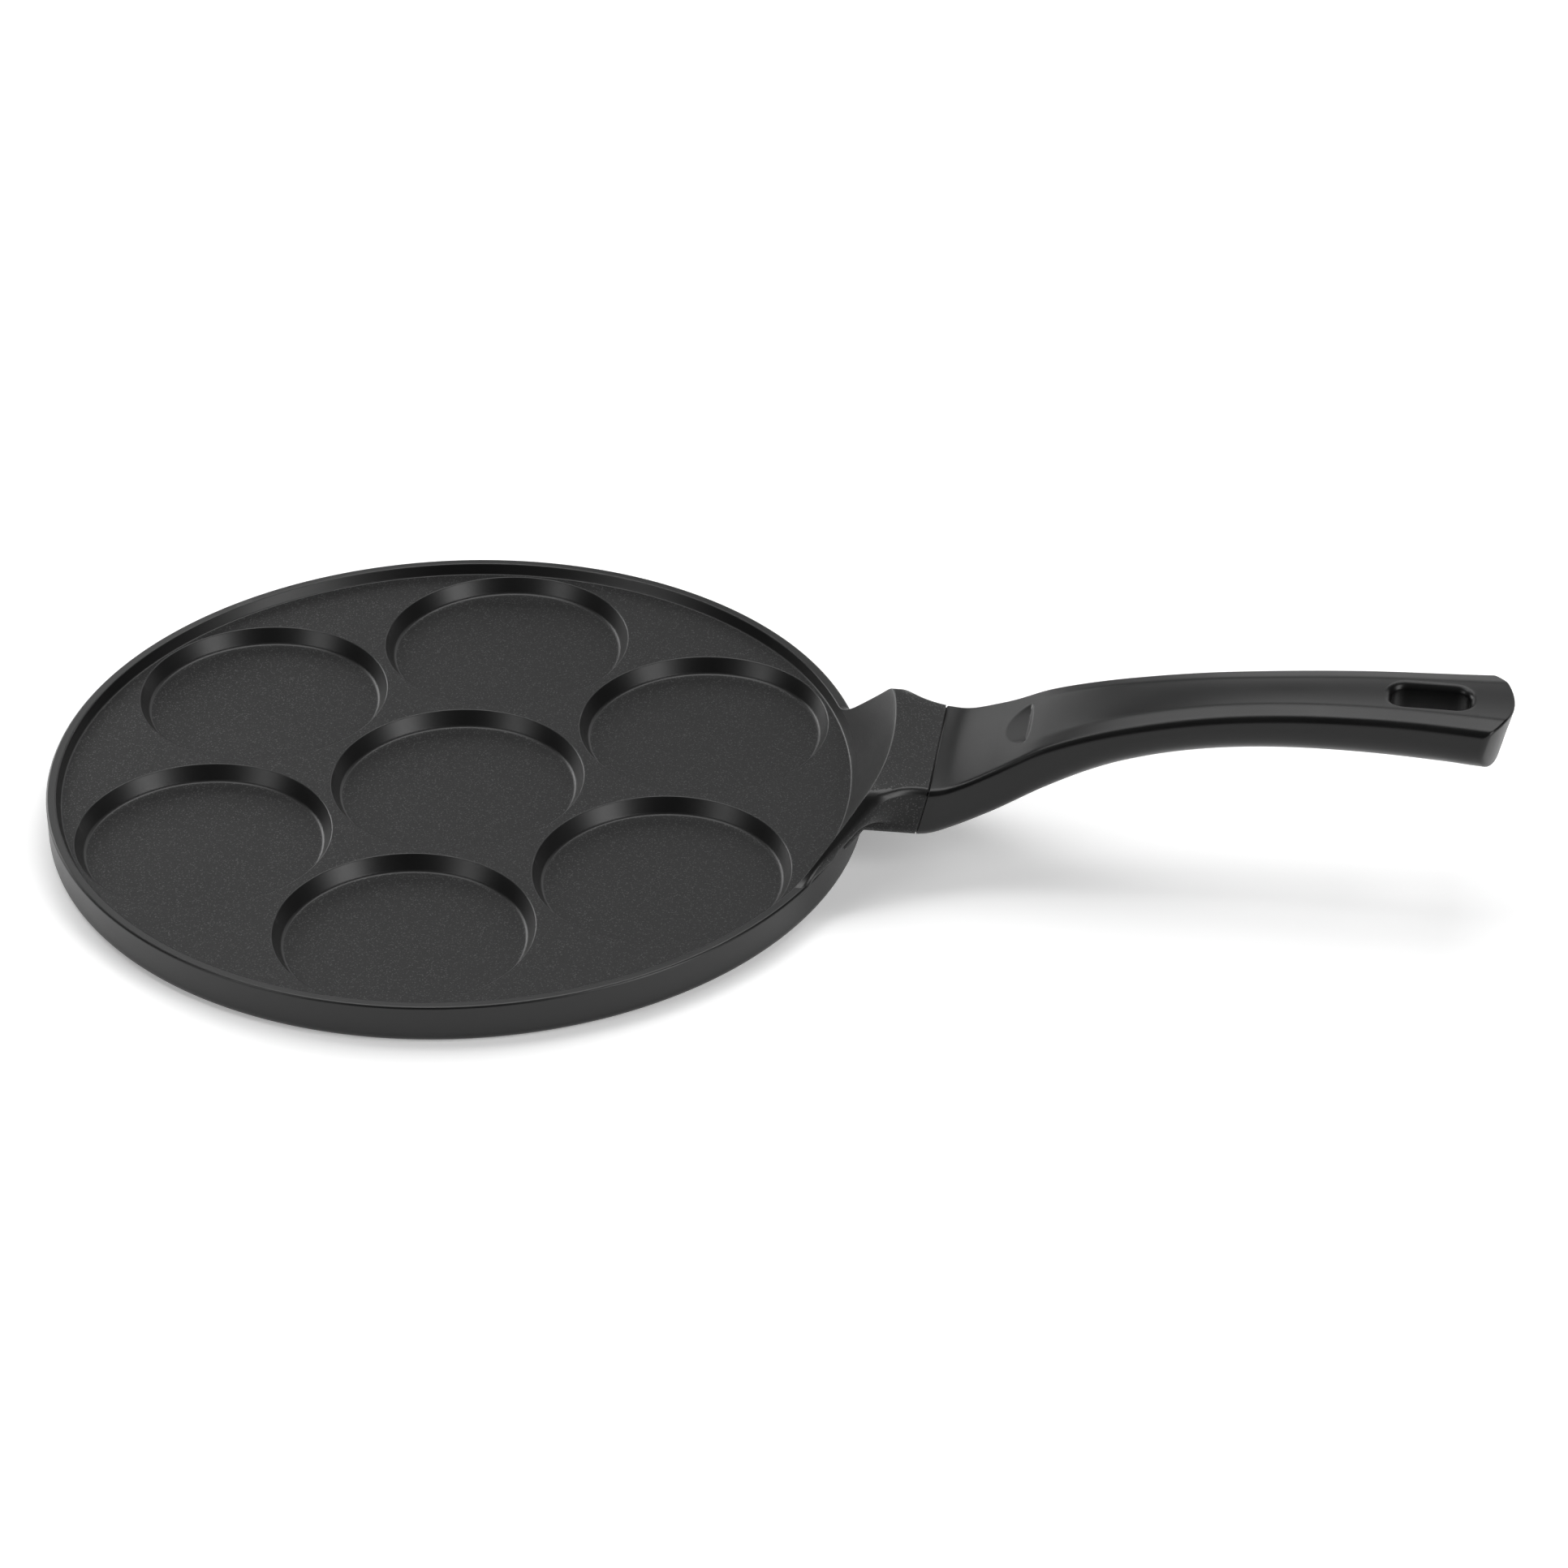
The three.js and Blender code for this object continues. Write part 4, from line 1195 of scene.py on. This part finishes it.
def soft_light(name, turn, lift, away, width, height, brightness):
    """A broad area lamp, placed by its turn from straight behind, its lift and its distance."""
    lamp = bpy.data.lights.new(name, "AREA")
    lamp.shape = "RECTANGLE"
    lamp.size = width
    lamp.size_y = height
    lamp.energy = brightness * math.pi * width * height
    holder = bpy.data.objects.new(name, lamp)
    bpy.context.scene.collection.objects.link(holder)
    turn = math.radians(turn)
    lift = math.radians(lift)
    way = Vector((math.sin(turn) * math.cos(lift), math.cos(turn) * math.cos(lift), math.sin(lift)))
    holder.location = way * away + Vector((0.05, 0.0, 0.0))
    holder.rotation_mode = "QUATERNION"
    holder.rotation_quaternion = (-way).to_track_quat("-Z", "Y")
    return holder


soft_light("overhead_light", -2, 67, 2.0, 1.44, 1.4, 3.7)
soft_light("right_front_light", 120, 26, 2.0, 0.77, 1.9, 4.7)
soft_light("left_front_light", -133, 28, 2.0, 0.61, 1.03, 3.4)
soft_light("back_left_light", -51, 14, 2.0, 0.91, 0.9, 4.8)
soft_light("left_strip_light", -25, 21, 2.0, 0.6, 0.9, 1.5)
soft_light("back_wall_light", 20, 19, 2.0, 1.8, 1.1, 1.0)
soft_light("left_top_light", -87, 65, 2.0, 0.6, 0.6, 4.8)

# Camera
# It stands in front and a little to the right, about a third of the way up, with a long lens.
FOCUS_PIXELS = 6272.30
turn = math.radians(8.4628)
lift = math.radians(33.3545)
roll = math.radians(-0.5745)
back = Vector((math.sin(turn) * math.cos(lift), -math.cos(turn) * math.cos(lift), math.sin(lift)))
level = Vector((math.cos(turn), math.sin(turn), 0.0))
upright = back.cross(level)
right = level * math.cos(roll) + upright * math.sin(roll)
up = upright * math.cos(roll) - level * math.sin(roll)
spot_seen = Vector((0.0, 0.0, PLATE_TOP * MM))
place = spot_seen + back * 1.621626 + right * 0.1040056 - up * 0.0020548
lens = bpy.data.cameras.new("camera")
lens.sensor_fit = "HORIZONTAL"
lens.sensor_width = 36.0
lens.lens = FOCUS_PIXELS * 36.0 / 1932.0
camera = bpy.data.objects.new("camera", lens)
bpy.context.scene.collection.objects.link(camera)
axes = Matrix((right, up, back)).transposed().to_4x4()
camera.matrix_world = Matrix.Translation(place) @ axes
bpy.context.scene.camera = camera
bpy.context.scene.view_settings.view_transform = "Standard"
